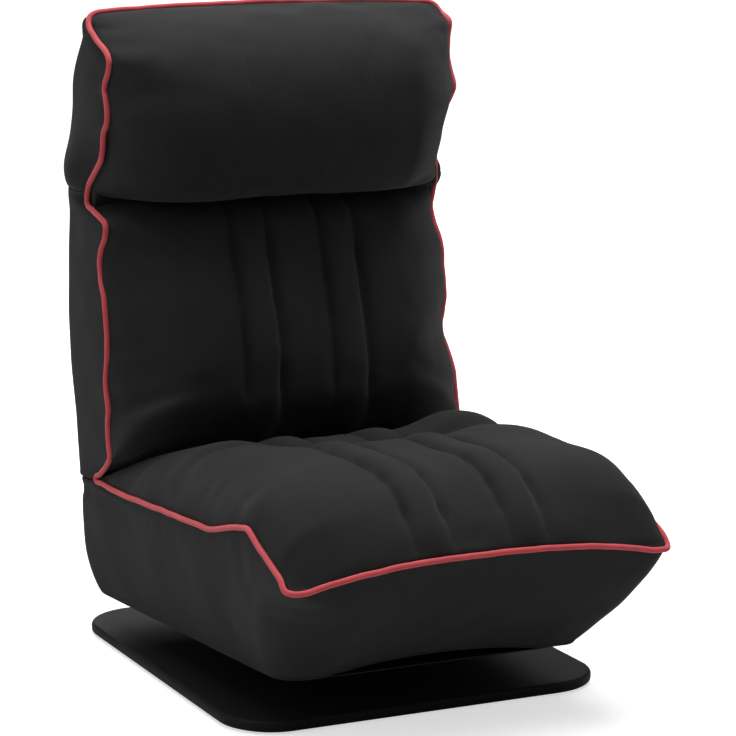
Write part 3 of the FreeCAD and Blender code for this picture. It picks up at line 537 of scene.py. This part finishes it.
def plump(pad, held, cap):
    """Fills the pad by a cloth simulation under pressure, held where it is sewn, up to the cap."""
    start = read(pad.data.vertices)
    sewn = pad.vertex_groups.new(name="sewn")
    sewn.add(np.flatnonzero(held).tolist(), 1.0, "REPLACE")
    cloth = pad.modifiers.new("cloth", "CLOTH")
    cloth.settings.vertex_group_mass = sewn.name
    cloth.settings.use_pressure = True
    cloth.settings.uniform_pressure_force = 4
    cloth.settings.effector_weights.gravity = 0
    cloth.settings.quality = 5
    cloth.collision_settings.use_collision = False
    cloth.point_cache.frame_start, cloth.point_cache.frame_end = 1, 20
    for step in range(1, 21):
        scene.frame_set(step)
    view = bpy.context.evaluated_depsgraph_get()
    filled = read(pad.evaluated_get(view).data.vertices)
    pad.modifiers.clear()
    pad.vertex_groups.clear()
    scene.frame_set(1)
    move = filled - start
    far = np.linalg.norm(move, axis=1, keepdims=True)
    print(pad.name, "plumped by up to %.1f mm" % (1000 * far.max()))
    return start + move * (cap * np.tanh(far / cap) / np.maximum(far, 1e-9))


class Cushion:
    """A cushion sewn up from a grid for its front and one for its base, and filled; step -1 turns it over."""

    def __init__(self, name, front, base, crown, sewn, cap, step=1):
        rim = crown < 0.02
        rim[:2] = rim[-2:] = True
        self.step = step
        self.loose = np.where(rim, 0, 1)
        self.piece = shell(name, front[:, ::step], base[:, ::step], microfibre)
        held = np.concatenate([(sewn | rim)[:, ::step].reshape(-1), np.ones(rim.size, bool)])
        self.points = plump(self.piece, held, cap)
        self.front = self.points[:rim.size].reshape(front.shape)[:, ::step]

    def press(self, height):
        """Raises or sinks the front at each of its points, apart from the sewn rim, and rounds it off."""
        facing = normals(self.front) * self.step
        self.front = self.front + facing * (height * self.loose)[..., None]
        self.points[:self.loose.size] = self.front[:, ::self.step].reshape(-1, 3)
        self.piece.data.vertices.foreach_set("co", self.points.reshape(-1))
        self.piece.data.update()
        settle(self.piece, 1)

    def channels(self, rows):
        """The sewn channels, as runs of points on the finished surface."""
        places, facing = grid_points(self.piece, self.loose.shape)
        found = np.flatnonzero(from_seam(np.abs(x)) < 1e-4)
        return [(places + 0.0002 * facing)[rows, column] for column in found]


x = columns()
rows = rib_rows(seat_ribs, spacing)
y = rows[:, 2:3]
crown = wing(x[None], 2.3 + 1.8 * ramp(y, 0.07, 0.15), 1.085 - 0.055 * ramp(y, -0.17, -0.25))
lift = ramp(y, seat_front + 0.030, seat_front)
crown = crown * (1 - lift) + arch(x)[None] * lift
narrow = corner_share(ramp(rows[:, :1], seat_front + corner_radius, seat_front))
full = ramp(rows[:, 3:4], 0.215, 0.265)
piping_yz, crown_yz = rows[:, None, :2], rows[:, None, 2:]
section = piping_yz + (crown_yz - piping_yz) * crown[..., None]
pad = np.dstack([x[None] * narrow, section[..., 0], section[..., 1]])
hips = np.where(x[None] < 0, 0.0120 * hill(y, tuft_y, 0.042), 0.0150 * hill(y, -0.022, 0.060))
pad[..., 2] += hips * ramp(np.abs(x[None]), 0.10, 0.15) * np.clip(crown, 0, 1)
stuffed = (swelled(x, 0.0050) - 0.0045 * np.clip(crown, 0, 1)) * full
pad = pad - normals(pad) * stuffed[..., None]
base = np.dstack([pad[..., 0] * 0.985, pad[..., 1] * 0 + rows[:, :1], pad[..., 2] * 0 + rows[:, 1:2] - 0.005])
base[..., 2] += (front_z(x)[None] - seat_ribs[-1, 1]) * lift
base[..., 1] = np.maximum(base[..., 1], seat_front + 0.010)
across, along = np.broadcast_arrays(np.abs(x)[None], y)
tuft = (np.abs(along - tuft_y) < 0.004) & (across < 0.15)
seat_pad = Cushion("seat_top_cushion", pad, base, crown, (from_seam(across) < 0.001) | tuft, cap=0.009, step=-1)
pad = seat_pad.front
rear_fade = ramp(along, 0.19, 0.14) * np.clip((along + 0.396) / 0.03, 0.25, 1)
gather = 1 + 0.30 * noise(pad * (0.4, 1, 0.4), 0.035, 11)
sink = bands(across, 0.0050, 0.0065) * gather * rear_fade
sink += 0.0075 * hill(along + 0.004 * np.sin(across * 40), tuft_y, 0.011) * ramp(across, 0.19, 0.13)
sink += 0.0045 * hill(along, tuft_y, 0.014) * hill(from_seam(across), 0, 0.012)
edge = hill(across, half_width, 0.030) + hill(along, seat_front, 0.022)
uneven = np.clip(0.45 + 0.6 * noise(pad, 0.13, 15), 0, 1)
crumple = 0.0015 * noise(pad * (0.35, 1, 0.5), 0.034, 12) * np.clip(edge, 0, 1) * uneven
crumple += 0.0016 * noise(pad, 0.11, 13) + 0.0006 * noise(pad, 0.045, 14)
seat_pad.press(crumple - sink)
seat_channels = seat_pad.channels((along < 0.15)[:, 0] & (along > -0.392)[:, 0])
seat_cushion = seat_pad.piece
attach(seat_cushion, "seat")
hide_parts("seat_cushion")

# Piping: red fabric folded round a cord and sewn into every seam between a cushion and its cover. On the seat
# it runs from the crease at one hinge round the front edge to the other, and its ends tuck into the crease.
red_cloth = Finish("red piping cloth", sheen_weight=0.2, specular_ior_level=0.25, sheen_tint=(1, 0.8, 0.8, 1))
threads = red_cloth.noise(1300.0, 2.0, 0.7)
wear = red_cloth.noise(24.0, 3.0)
red_cloth.feed(base_color=red_cloth.blend(0.6 * wear + 0.4 * threads, (0.36, 0.028, 0.036), (0.62, 0.085, 0.10)),
               roughness=0.66 + 0.2 * threads, normal=red_cloth.bumps(threads, 0.0004, 0.8))


def node_tree(name, **inputs):
    """A geometry tree with the named inputs and one geometry output."""
    tree = bpy.data.node_groups.new(name, "GeometryNodeTree")
    for label, kind in inputs.items():
        tree.interface.new_socket(label, in_out="INPUT", socket_type="NodeSocket" + kind)
    tree.interface.new_socket("Made", in_out="OUTPUT", socket_type="NodeSocketGeometry")
    return tree, tree.nodes.new("NodeGroupInput").outputs, tree.nodes.new("NodeGroupOutput").inputs


def grow(name, tree, runs, **values):
    """A plain mesh that a tree makes along runs of points."""
    points, edges = [], []
    for run in runs:
        edges += [(len(points) + i, len(points) + i + 1) for i in range(len(run) - 1)]
        points += run.tolist()
    mesh = bpy.data.meshes.new(name)
    mesh.from_pydata(points, edges, [])
    made = put(name, mesh)
    maker = made.modifiers.new("maker", "NODES")
    maker.node_group = tree
    sockets = {item.name: item.identifier for item in tree.interface.items_tree}
    for label, value in values.items():
        maker[sockets[label]] = value
    return settle(made)


cord_tree, entry, leave = node_tree("piping along a line", Line="Geometry", Radius="Float", Step="Float",
                                    Cloth="Material")
to_line = step_node(cord_tree, "GeometryNodeMeshToCurve", {"Mesh": entry["Line"]})
spaced = step_node(cord_tree, "GeometryNodeResampleCurve", {"Curve": to_line[0], "Length": entry["Step"]},
                   mode="LENGTH")
ring = step_node(cord_tree, "GeometryNodeCurvePrimitiveCircle", {"Resolution": 12, "Radius": entry["Radius"]})
tube = step_node(cord_tree, "GeometryNodeCurveToMesh",
                 {"Curve": spaced[0], "Profile Curve": ring[0], "Fill Caps": True})
plain = step_node(cord_tree, "GeometryNodeRealizeInstances", {"Geometry": tube[0]})
clothed = step_node(cord_tree, "GeometryNodeSetMaterial", {"Geometry": plain[0], "Material": entry["Cloth"]})
cord_tree.links.new(clothed[0], leave[0])


def piping(name, points, radius=0.0034):
    """A round piping along a smooth run of points, with a slight unevenness from the sewing."""
    run = even(np.array(points), 0.003)
    run = run + 0.0004 * np.dstack([noise(run[None] + turn, 0.030, 20 + turn)[0] for turn in range(3)])[0]
    return grow(name, cord_tree, [run], Radius=radius, Step=0.003, Cloth=red_cloth.material)


piping_out = half_width + 0.002
side = rib_rows(seat_ribs, 0.012)
side = [(piping_out, y, z + 0.0015) for y, z in side[:, :2] if -0.380 < y < 0.176]
right = [(piping_out, 0.1862, 0.2092), (piping_out, 0.1866, 0.2064), (piping_out, 0.1840, 0.2045)] + side
right += [(piping_out - 0.0005, -0.3905, 0.2020), (piping_out - 0.006, -0.3985, 0.2005)]
front = [(x_place, seat_front - 0.002, float(front_z(x_place)) + 0.0005) for x_place in np.linspace(0.215, 0, 16)]
half = right + front
seat_piping = piping("seat_rim_piping", half + [(-px, py, pz) for px, py, pz in half[-2::-1]])
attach(seat_piping, "seat")
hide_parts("seat_piping")

# Topstitching in black polyester thread: along the bottom of every sewn channel, and round the seat cover's hem.
thread = Finish("black thread", specular_ior_level=0.3)
twist = thread.wave(900.0, 1.0, "DIAGONAL")
thread.feed(base_color=thread.blend(twist, (0.010, 0.010, 0.011), (0.030, 0.030, 0.032)), roughness=0.5 + 0.2 * twist,
            normal=thread.bumps(twist, 0.0002))
stitch_tree, entry, leave = node_tree("stitches along a line", Line="Geometry", Spacing="Float", Length="Float",
                                      Thickness="Float", Thread="Material")
to_line = step_node(stitch_tree, "GeometryNodeMeshToCurve", {"Mesh": entry["Line"]})
needle = step_node(stitch_tree, "GeometryNodeCurveToPoints", {"Curve": to_line[0], "Length": entry["Spacing"]},
                   mode="LENGTH")
ball = step_node(stitch_tree, "GeometryNodeMeshUVSphere", {"Segments": 6, "Rings": 4, "Radius": 0.5})
shape = step_node(stitch_tree, "ShaderNodeCombineXYZ", {"X": entry["Thickness"], "Y": entry["Thickness"],
                                                        "Z": entry["Length"]})
sewn = step_node(stitch_tree, "GeometryNodeInstanceOnPoints",
                 {"Points": needle["Points"], "Instance": ball[0], "Rotation": needle["Rotation"], "Scale": shape[0]})
plain = step_node(stitch_tree, "GeometryNodeRealizeInstances", {"Geometry": sewn[0]})
threaded = step_node(stitch_tree, "GeometryNodeSetMaterial", {"Geometry": plain[0], "Material": entry["Thread"]})
stitch_tree.links.new(threaded[0], leave[0])


def topstitch(name, body, runs):
    """Stitches along runs of points, which move with a body."""
    made = grow(name, stitch_tree, runs, Spacing=0.0046, Length=0.0034, Thickness=0.0009, Thread=thread.material)
    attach(made, body)


topstitch("seat_channel_stitches", "seat", seat_channels)
hem_row = 31
topstitch("seat_hem_stitches", "seat", [np.vstack([hem_places[hem_row + turn], hem_places[hem_row + turn][:1]])
                                        for turn in (0, 1)])

# Recline hinges: on each side a toothed plate of pressed, zinc plated steel on the seat rail, a forked arm on
# the back's rail, and a sprung pawl that drops into the teeth. The head section has a smaller pair of the same.
dress(zinc, "recline_toothed_plate_left", "recline_toothed_plate_right", "recline_arm_left", "recline_arm_right",
      "recline_pawls", "recline_pawl_springs", "recline_pins", "head_toothed_plate", "head_arm", "head_pawls",
      "head_pawl_springs", "head_pins")

# Back cushion: the same foam, wadding and channels as the seat, tucked in at the bottom where it meets the
# seat and at the top where it meets the head pillow. Its two bands stand out from a flatter middle.
back_ribs = np.array((
    (0.206, 0.2050, 0.206, 0.2055), (0.184, 0.2090, 0.172, 0.2215), (0.167, 0.2200, 0.138, 0.2375),
    (0.147, 0.2340, 0.104, 0.2590), (0.137, 0.2450, 0.080, 0.2830), (0.141, 0.2560, 0.069, 0.3040),
    (0.144, 0.2820, 0.0645, 0.3270), (0.141, 0.3040, 0.0645, 0.3400), (0.150, 0.3350, 0.0650, 0.3560),
    (0.142, 0.3670, 0.068, 0.3750), (0.143, 0.4000, 0.0745, 0.4020), (0.148, 0.4350, 0.083, 0.4330),
    (0.161, 0.4630, 0.0935, 0.4620), (0.159, 0.4960, 0.1060, 0.4960), (0.145, 0.5130, 0.113, 0.5150),
    (0.141, 0.5290, 0.122, 0.5310), (0.158, 0.5360, 0.140, 0.5420), (0.180, 0.5410, 0.170, 0.5495),
    (0.202, 0.5490, 0.202, 0.5560)))
right_line = np.array((
    (0.205, 0.206), (0.209, 0.184), (0.220, 0.167), (0.234, 0.148), (0.245, 0.139), (0.262, 0.139), (0.289, 0.145),
    (0.315, 0.151), (0.337, 0.168), (0.360, 0.187), (0.382, 0.183), (0.407, 0.177), (0.444, 0.183), (0.478, 0.190),
    (0.498, 0.208), (0.516, 0.217), (0.538, 0.210), (0.552, 0.204), (0.567, 0.205), (0.584, 0.205), (0.604, 0.200),
    (0.619, 0.198), (0.637, 0.190), (0.658, 0.167), (0.676, 0.152), (0.694, 0.161), (0.714, 0.171), (0.734, 0.170),
    (0.749, 0.167), (0.757, 0.166), (0.770, 0.180), (0.785, 0.196)))


def right_y(z):
    """Where the right side's piping lies at a height: its cushions were sewn in further back than the left's."""
    return smooth(right_line[:, 0], right_line[:, 1:], np.atleast_1d(z))[:, 0]


def seam_grid(rows, x):
    """The seam's place (y, z) for every point of a cushion, passing from the left line to the right one."""
    share = 0.5 + 0.5 * x[None] / half_width
    y = rows[:, :1] + (right_y(rows[:, 1])[:, None] - rows[:, :1]) * share * share * (3 - 2 * share)
    return np.dstack([y, np.broadcast_to(rows[:, 1:2], y.shape)])


def upright_pad(rows, crown, swell, narrow=1):
    """A cushion's front over its ribs, and the seams' places behind it."""
    seam_yz = seam_grid(rows, x)
    section = seam_yz + (rows[:, None, 2:] - seam_yz) * crown[..., None]
    pad = np.dstack([np.broadcast_to(x[None] * narrow, crown.shape), section[..., 0], section[..., 1]])
    full = ramp(np.linalg.norm(rows[:, 2:] - rows[:, :2], axis=1), 0.02, 0.06)[:, None]
    return pad + normals(pad) * (swell * full)[..., None], seam_yz


rows = rib_rows(back_ribs, spacing)
low = ramp(rows[:, 1:2], 0.285, 0.235)
crown = wing(x[None], np.where(x[None] < 0, 1.75 + 1.9 * low, 1.3 + 0.5 * low), 1.06)
pad, seam_yz = upright_pad(rows, crown, swelled(x, 0.006) - 0.0045 * (1 - low) * np.clip(crown, 0, 1))
base = np.dstack([pad[..., 0] * 0.985, seam_yz[..., 0] + 0.010, seam_yz[..., 1]])
across, along = np.broadcast_arrays(np.abs(x)[None], rows[:, 3:4])
back_pad = Cushion("back_front_cushion", pad, base, crown, from_seam(across) < 0.001, cap=0.009)
pad = back_pad.front
gather = 1 + 0.30 * noise(pad * (0.4, 0.4, 1), 0.04, 31)
sink = bands(across, 0.0058, 0.0065) * gather * ramp(along, 0.285, 0.325) * ramp(along, 0.552, 0.527)
edge = hill(across, half_width, 0.032) + 0.8 * hill(along, 0.545, 0.020)
crumple = 0.0019 * noise(pad * (0.35, 0.4, 1), 0.036, 32) * np.clip(edge, 0, 1)
crumple += 0.0018 * noise(pad, 0.12, 33) + 0.0006 * noise(pad, 0.045, 34)
crumple += 0.0016 * ramp(along, 0.285, 0.255) * noise(pad * (1, 0.4, 0.4), 0.022, 35)
back_pad.press(crumple - sink)
topstitch("back_channel_stitches", "back", back_pad.channels((along > 0.29)[:, 0] & (along < 0.53)[:, 0]))
back_cushion = back_pad.piece
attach(back_cushion, "back")
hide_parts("back_cushion")

# Foam slab of the back: cut foam glued to the webbing and shaved to the cushion's own section, so it tapers
# where the right wing slopes away.
foam_rear, foam_cover, foam_width = 0.1985, 0.016, 0.93


def foam_slab(name, pad, kept):
    """A slab of foam inside a cushion, from the webbing's face to a little under the cloth."""
    reach = np.minimum(pad[..., 1] + foam_cover, foam_rear - 0.002)
    front = np.dstack([pad[..., 0] * foam_width, reach, pad[..., 2]])[kept]
    rear = front.copy()
    rear[..., 1] = foam_rear
    return settle(shell(name, front, rear, foam))


back_slab = foam_slab("back_foam_slab", back_pad.front, (rows[:, 1] > 0.247) & (rows[:, 1] < 0.527))
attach(back_slab, "back")
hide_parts("back_foam")

# Crease linings: strips of the same microfibre in front of the hinges, with their ends closed. Each is sewn to the
# pieces below and above it, and wraps round its hinge line between two fixed angles.
recline_line, head_line = (0.212, 0.200), (0.212, 0.562)
lining_radius, lining_reach = 0.0268, 0.2335


def lining(name, hinge, angles):
    """A strip of cloth round a hinge line (y, z), between two angles up from straight ahead."""
    turns = np.radians(np.linspace(*angles, 15))[:, None]
    sides = []
    for radius, reach in ((lining_radius, lining_reach), (lining_radius - 0.0014, lining_reach - 0.0017)):
        cap = np.array([(reach, 0.004), (reach, 0.010), (reach, 0.016), (reach, radius - 0.003),
                        (reach - 0.001, radius - 0.0006)])
        width, wavy = np.concatenate([cap, [(x, radius) for x in np.linspace(reach - 0.004, 0, 30)]]).T
        width, wavy = np.append(width, -width[-2::-1])[None], np.append(wavy, wavy[-2::-1])[None]
        wavy = wavy + 0.0004 * np.sin(width * 90 + 3 * turns) * (wavy / radius)
        sides.append(np.dstack([width + 0 * turns, hinge[0] - wavy * np.cos(turns), hinge[1] + wavy * np.sin(turns)]))
    strip = settle(shell(name, *sides, microfibre), 1)
    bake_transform(strip)


lining("crease_lining", recline_line, (-22, 62))
lining("fold_lining", head_line, (-42, 38))

# Covers of the back and of the head section: one microfibre panel on each side and one behind, over thin
# wadding. The side panels bulge over the head hinges and crease where the head section folds.
head_ribs = np.array((
    (0.203, 0.5500, 0.203, 0.5610), (0.2035, 0.5550, 0.166, 0.5555), (0.2025, 0.5620, 0.138, 0.5505),
    (0.1965, 0.5720, 0.115, 0.5510), (0.179, 0.5870, 0.091, 0.5625), (0.162, 0.5995, 0.075, 0.5785),
    (0.149, 0.6130, 0.0635, 0.5995), (0.143, 0.6390, 0.0540, 0.6225), (0.128, 0.6600, 0.0495, 0.6480),
    (0.131, 0.6800, 0.048, 0.6700), (0.137, 0.6970, 0.050, 0.6920), (0.124, 0.7150, 0.055, 0.7120),
    (0.119, 0.7260, 0.061, 0.7240), (0.127, 0.7370, 0.069, 0.7370), (0.157, 0.7490, 0.085, 0.7520),
    (0.179, 0.7630, 0.113, 0.7670), (0.189, 0.7740, 0.150, 0.7790), (0.196, 0.7850, 0.195, 0.7850)))
side_line = np.concatenate([back_ribs[:-1, :2], head_ribs[:, :2]])
rear_line = np.array((
    (0.200, 0.264), (0.223, 0.2690), (0.243, 0.2735), (0.275, 0.2785), (0.304, 0.2865), (0.335, 0.2920),
    (0.540, 0.2930), (0.562, 0.2920), (0.575, 0.2925), (0.590, 0.2900), (0.612, 0.2872), (0.639, 0.2824),
    (0.661, 0.2776), (0.697, 0.2712), (0.725, 0.2536), (0.736, 0.2440), (0.749, 0.2320), (0.765, 0.2200),
    (0.777, 0.2100), (0.785, 0.2010)))
fold_z, ribs_top = head_line[1], 0.785


def top_z(x):
    """Height of the top edge, pinched at its corners and arched between them."""
    return np.interp(np.abs(x), (0, 0.12, 0.20, 0.222, half_width), (0.7865, 0.7850, 0.7820, 0.7805, 0.7785))


def narrowed(z):
    """How far the top corners are rounded, as a share of the width."""
    return corner_share(ramp(z, ribs_top - corner_radius, ribs_top))


def arch_top(grid, height):
    """Bends the top of a grid to the top edge's line."""
    grid[..., 2] += ramp(height, 0.735, ribs_top) ** 2 * (top_z(grid[..., 0]) - ribs_top)


def upright_cover(name, low, high):
    """The side and rear panels between two heights, as one ring of grid that is open at the front."""
    line = even(side_line, spacing)
    line = line[(line[:, 1] > low + 0.002) & (line[:, 1] < high - 0.002)]
    front_y = np.interp([low, high], side_line[:, 1], side_line[:, 0])
    line = np.concatenate([[(front_y[0], low)], line, [(front_y[1], high)]])
    rear_y = smooth(rear_line[:, 0], rear_line[:, 1:], line[:, 1])[:, 0]
    sections = []
    for (y, z), rear, y_right in zip(line, rear_y, right_y(line[:, 1])):
        halves = []
        for front in (y_right, y):
            corner = min(rear_corner, 0.45 * (rear - front))
            side_run = [(half_width, front + (rear - corner - front) * share) for share in np.linspace(0, 1, 26)]
            turn_run = [(half_width - corner + corner * math.cos(turn), rear - corner + corner * math.sin(turn))
                        for turn in np.linspace(0, math.pi / 2, 9)[1:-1]]
            rear_run = [((half_width - corner) * share, rear) for share in np.linspace(1, 0, 36)]
            halves.append(np.array(side_run + turn_run + rear_run))
        ring = np.concatenate([halves[0], halves[1][-2::-1] * (-1, 1)])
        sections.append(np.column_stack([ring, np.full(len(ring), z)]))
    grid = np.array(sections)
    grid[..., 0] *= narrowed(grid[..., 2])
    facing = normals(grid)
    edge_y = np.where(grid[..., 0] > 0, right_y(line[:, 1])[:, None], line[:, None, 0])
    depth = np.maximum(rear_y[:, None] - edge_y, 1e-6)
    front_share = np.clip((grid[..., 1] - edge_y) / depth, 0, 1)
    side_part = np.abs(grid[..., 0]) > half_width - 0.012
    on_left = grid[..., 0] < 0
    y, z = grid[..., 1], grid[..., 2]
    bulge = 0.0030 * np.sin(math.pi * front_share) * side_part
    bulge += 0.006 * np.clip(1 - (grid[..., 0] / 0.20) ** 2, 0, 1) * (front_share > 0.98)
    hinge = np.where(on_left, np.hypot((y - 0.232) / 0.038, (z - 0.588) / 0.033),
                     np.hypot((y - 0.227) / 0.030, (z - 0.560) / 0.024))
    bulge += np.where(on_left, 0.0140, 0.0185) * np.exp(-hinge ** 2.4) * side_part
    bulge -= 0.0022 * hill(np.abs(grid[..., 0]), half_width - rear_corner, 0.0045) * (front_share > 0.9)
    fold = hill(z - 0.10 * (y - 0.203), 0.5535, 0.0055)
    bulge -= 0.0070 * fold * np.where(side_part, hill(front_share, 0, 0.5) * on_left, 0.30)
    bulge -= np.where(side_part, 0.0010, 0.0024) * (hill(z, low, 0.004) + hill(z, high, 0.004)) * (front_share > 0.1)
    waves = 0.0018 * noise(grid * (1, 1, 0.6), 0.15, 41) + 0.0007 * noise(grid, 0.05, 42)
    puckers = 0.0016 * hill(front_share * depth, 0, 0.022) * side_part * noise(grid * (1, 0.3, 1), 0.030, 43)
    start = ramp(front_share * depth, 0, 0.006)
    grid = grid + facing * ((bulge + waves * 0.8 + puckers) * start)[..., None]
    arch_top(grid, z)
    return shell(name, grid, grid - facing * cloth_thickness, microfibre)


back_cover = settle(upright_cover("back_side_and_rear_cover", 0.2008, fold_z), 1)
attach(back_cover, "back")
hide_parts("back_side_panel_left", "back_side_panel_right", "back_rear_panel")
head_cover = settle(upright_cover("head_side_and_rear_cover", fold_z, ribs_top), 1)
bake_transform(head_cover)
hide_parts("head_side_panels", "head_rear_panel", "head_hinge_pads")

# Head pillow: a thick wadded pillow sewn in at the top edge and the sides. Its loose foot rolls over the
# back cushion and hides the fold.
rows = rib_rows(head_ribs, spacing)
boxy = (1 - (np.abs(x) / half_width) ** 6.0) ** 0.55 * (1 - 0.03 * (np.abs(x) / half_width) ** 2)
near_fold = ramp(rows[:, 1:2], 0.580, 0.560)
crown = np.where(x[None] < 0, boxy[None], wing(x[None], 1.4 + 0.8 * near_fold, 1.0))
pad, seam_yz = upright_pad(rows, crown, -0.0045 * np.clip(crown, 0, 1), narrowed(rows[:, 1:2]))
base = np.dstack([pad[..., 0] * 0.985, seam_yz[..., 0] + 0.008, seam_yz[..., 1] - 0.001])
arch_top(pad, rows[:, 3:4])
arch_top(base, rows[:, 3:4])
across, along = np.broadcast_arrays(np.abs(x)[None], rows[:, 3:4])
head_pad = Cushion("head_front_pillow", pad, base, crown, np.zeros(crown.shape, bool), cap=0.007)
pad = head_pad.front
edge = hill(across, half_width, 0.034) + hill(along, 0.783, 0.012)
crumple = 0.0020 * noise(pad * (0.35, 0.4, 1), 0.036, 52) * np.clip(edge, 0, 1)
head_pad.press(crumple + 0.0020 * noise(pad, 0.14, 53) + 0.0006 * noise(pad, 0.05, 54))
head_pillow = head_pad.piece
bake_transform(head_pillow)
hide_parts("head_pillow", "head_fold_roll")
pad = head_pad.front
pad = pad + ramp(pad[..., 2:], 0.650, 0.614) * (0, 0.030, 0)
head_slab = foam_slab("head_foam_slab", pad, (rows[:, 1] > 0.614) & (rows[:, 1] < 0.722))
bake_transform(head_slab)
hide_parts("head_foam")

# Piping of the back, one run on each side from the seat's crease up to the fold, and of the head section,
# from one fold over the top edge to the other.
low = rib_rows(back_ribs, 0.010)[:, :2]
high = rib_rows(head_ribs, 0.010)[:, :2]
sides = {}
for sign, side_name, node in ((1, "right", "back_piping_right"), (-1, "left", "back_piping_left")):
    below = [(y - 0.002, z) for y, z in low if 0.2135 < z < 0.5440]
    above = [(y - 0.002, z) for y, z in high if 0.552 < z < 0.760]
    fold = [(0.1990, 0.5468), (0.2020, 0.5500)]
    if sign > 0:
        below, above, fold = [[(float(right_y(z)[0]) - 0.002, z) for y, z in part] for part in (below, above, fold)]
    run = [(piping_out, 0.1866, 0.2070), (piping_out, 0.1855, 0.2098)]
    run += [(piping_out, y, z) for y, z in below + fold]
    back_piping = piping("back_edge_piping_" + side_name, [(sign * px, py, pz) for px, py, pz in run])
    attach(back_piping, "back")
    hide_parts(node)
    half = [(piping_out, y, z) for y, z in fold + above]
    half += [(piping_out - 0.001, 0.189, 0.7690), (piping_out - 0.005, 0.194, 0.7765), (0.225, 0.196, 0.7805)]
    half += [(px, 0.1965, float(top_z(px)) + 0.001) for px in np.linspace(0.213, 0, 16)]
    sides[sign] = [(sign * px, py, pz) for px, py, pz in half]
head_piping = piping("head_edge_piping", sides[1] + sides[-1][-2::-1])
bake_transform(head_piping)
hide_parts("head_piping")
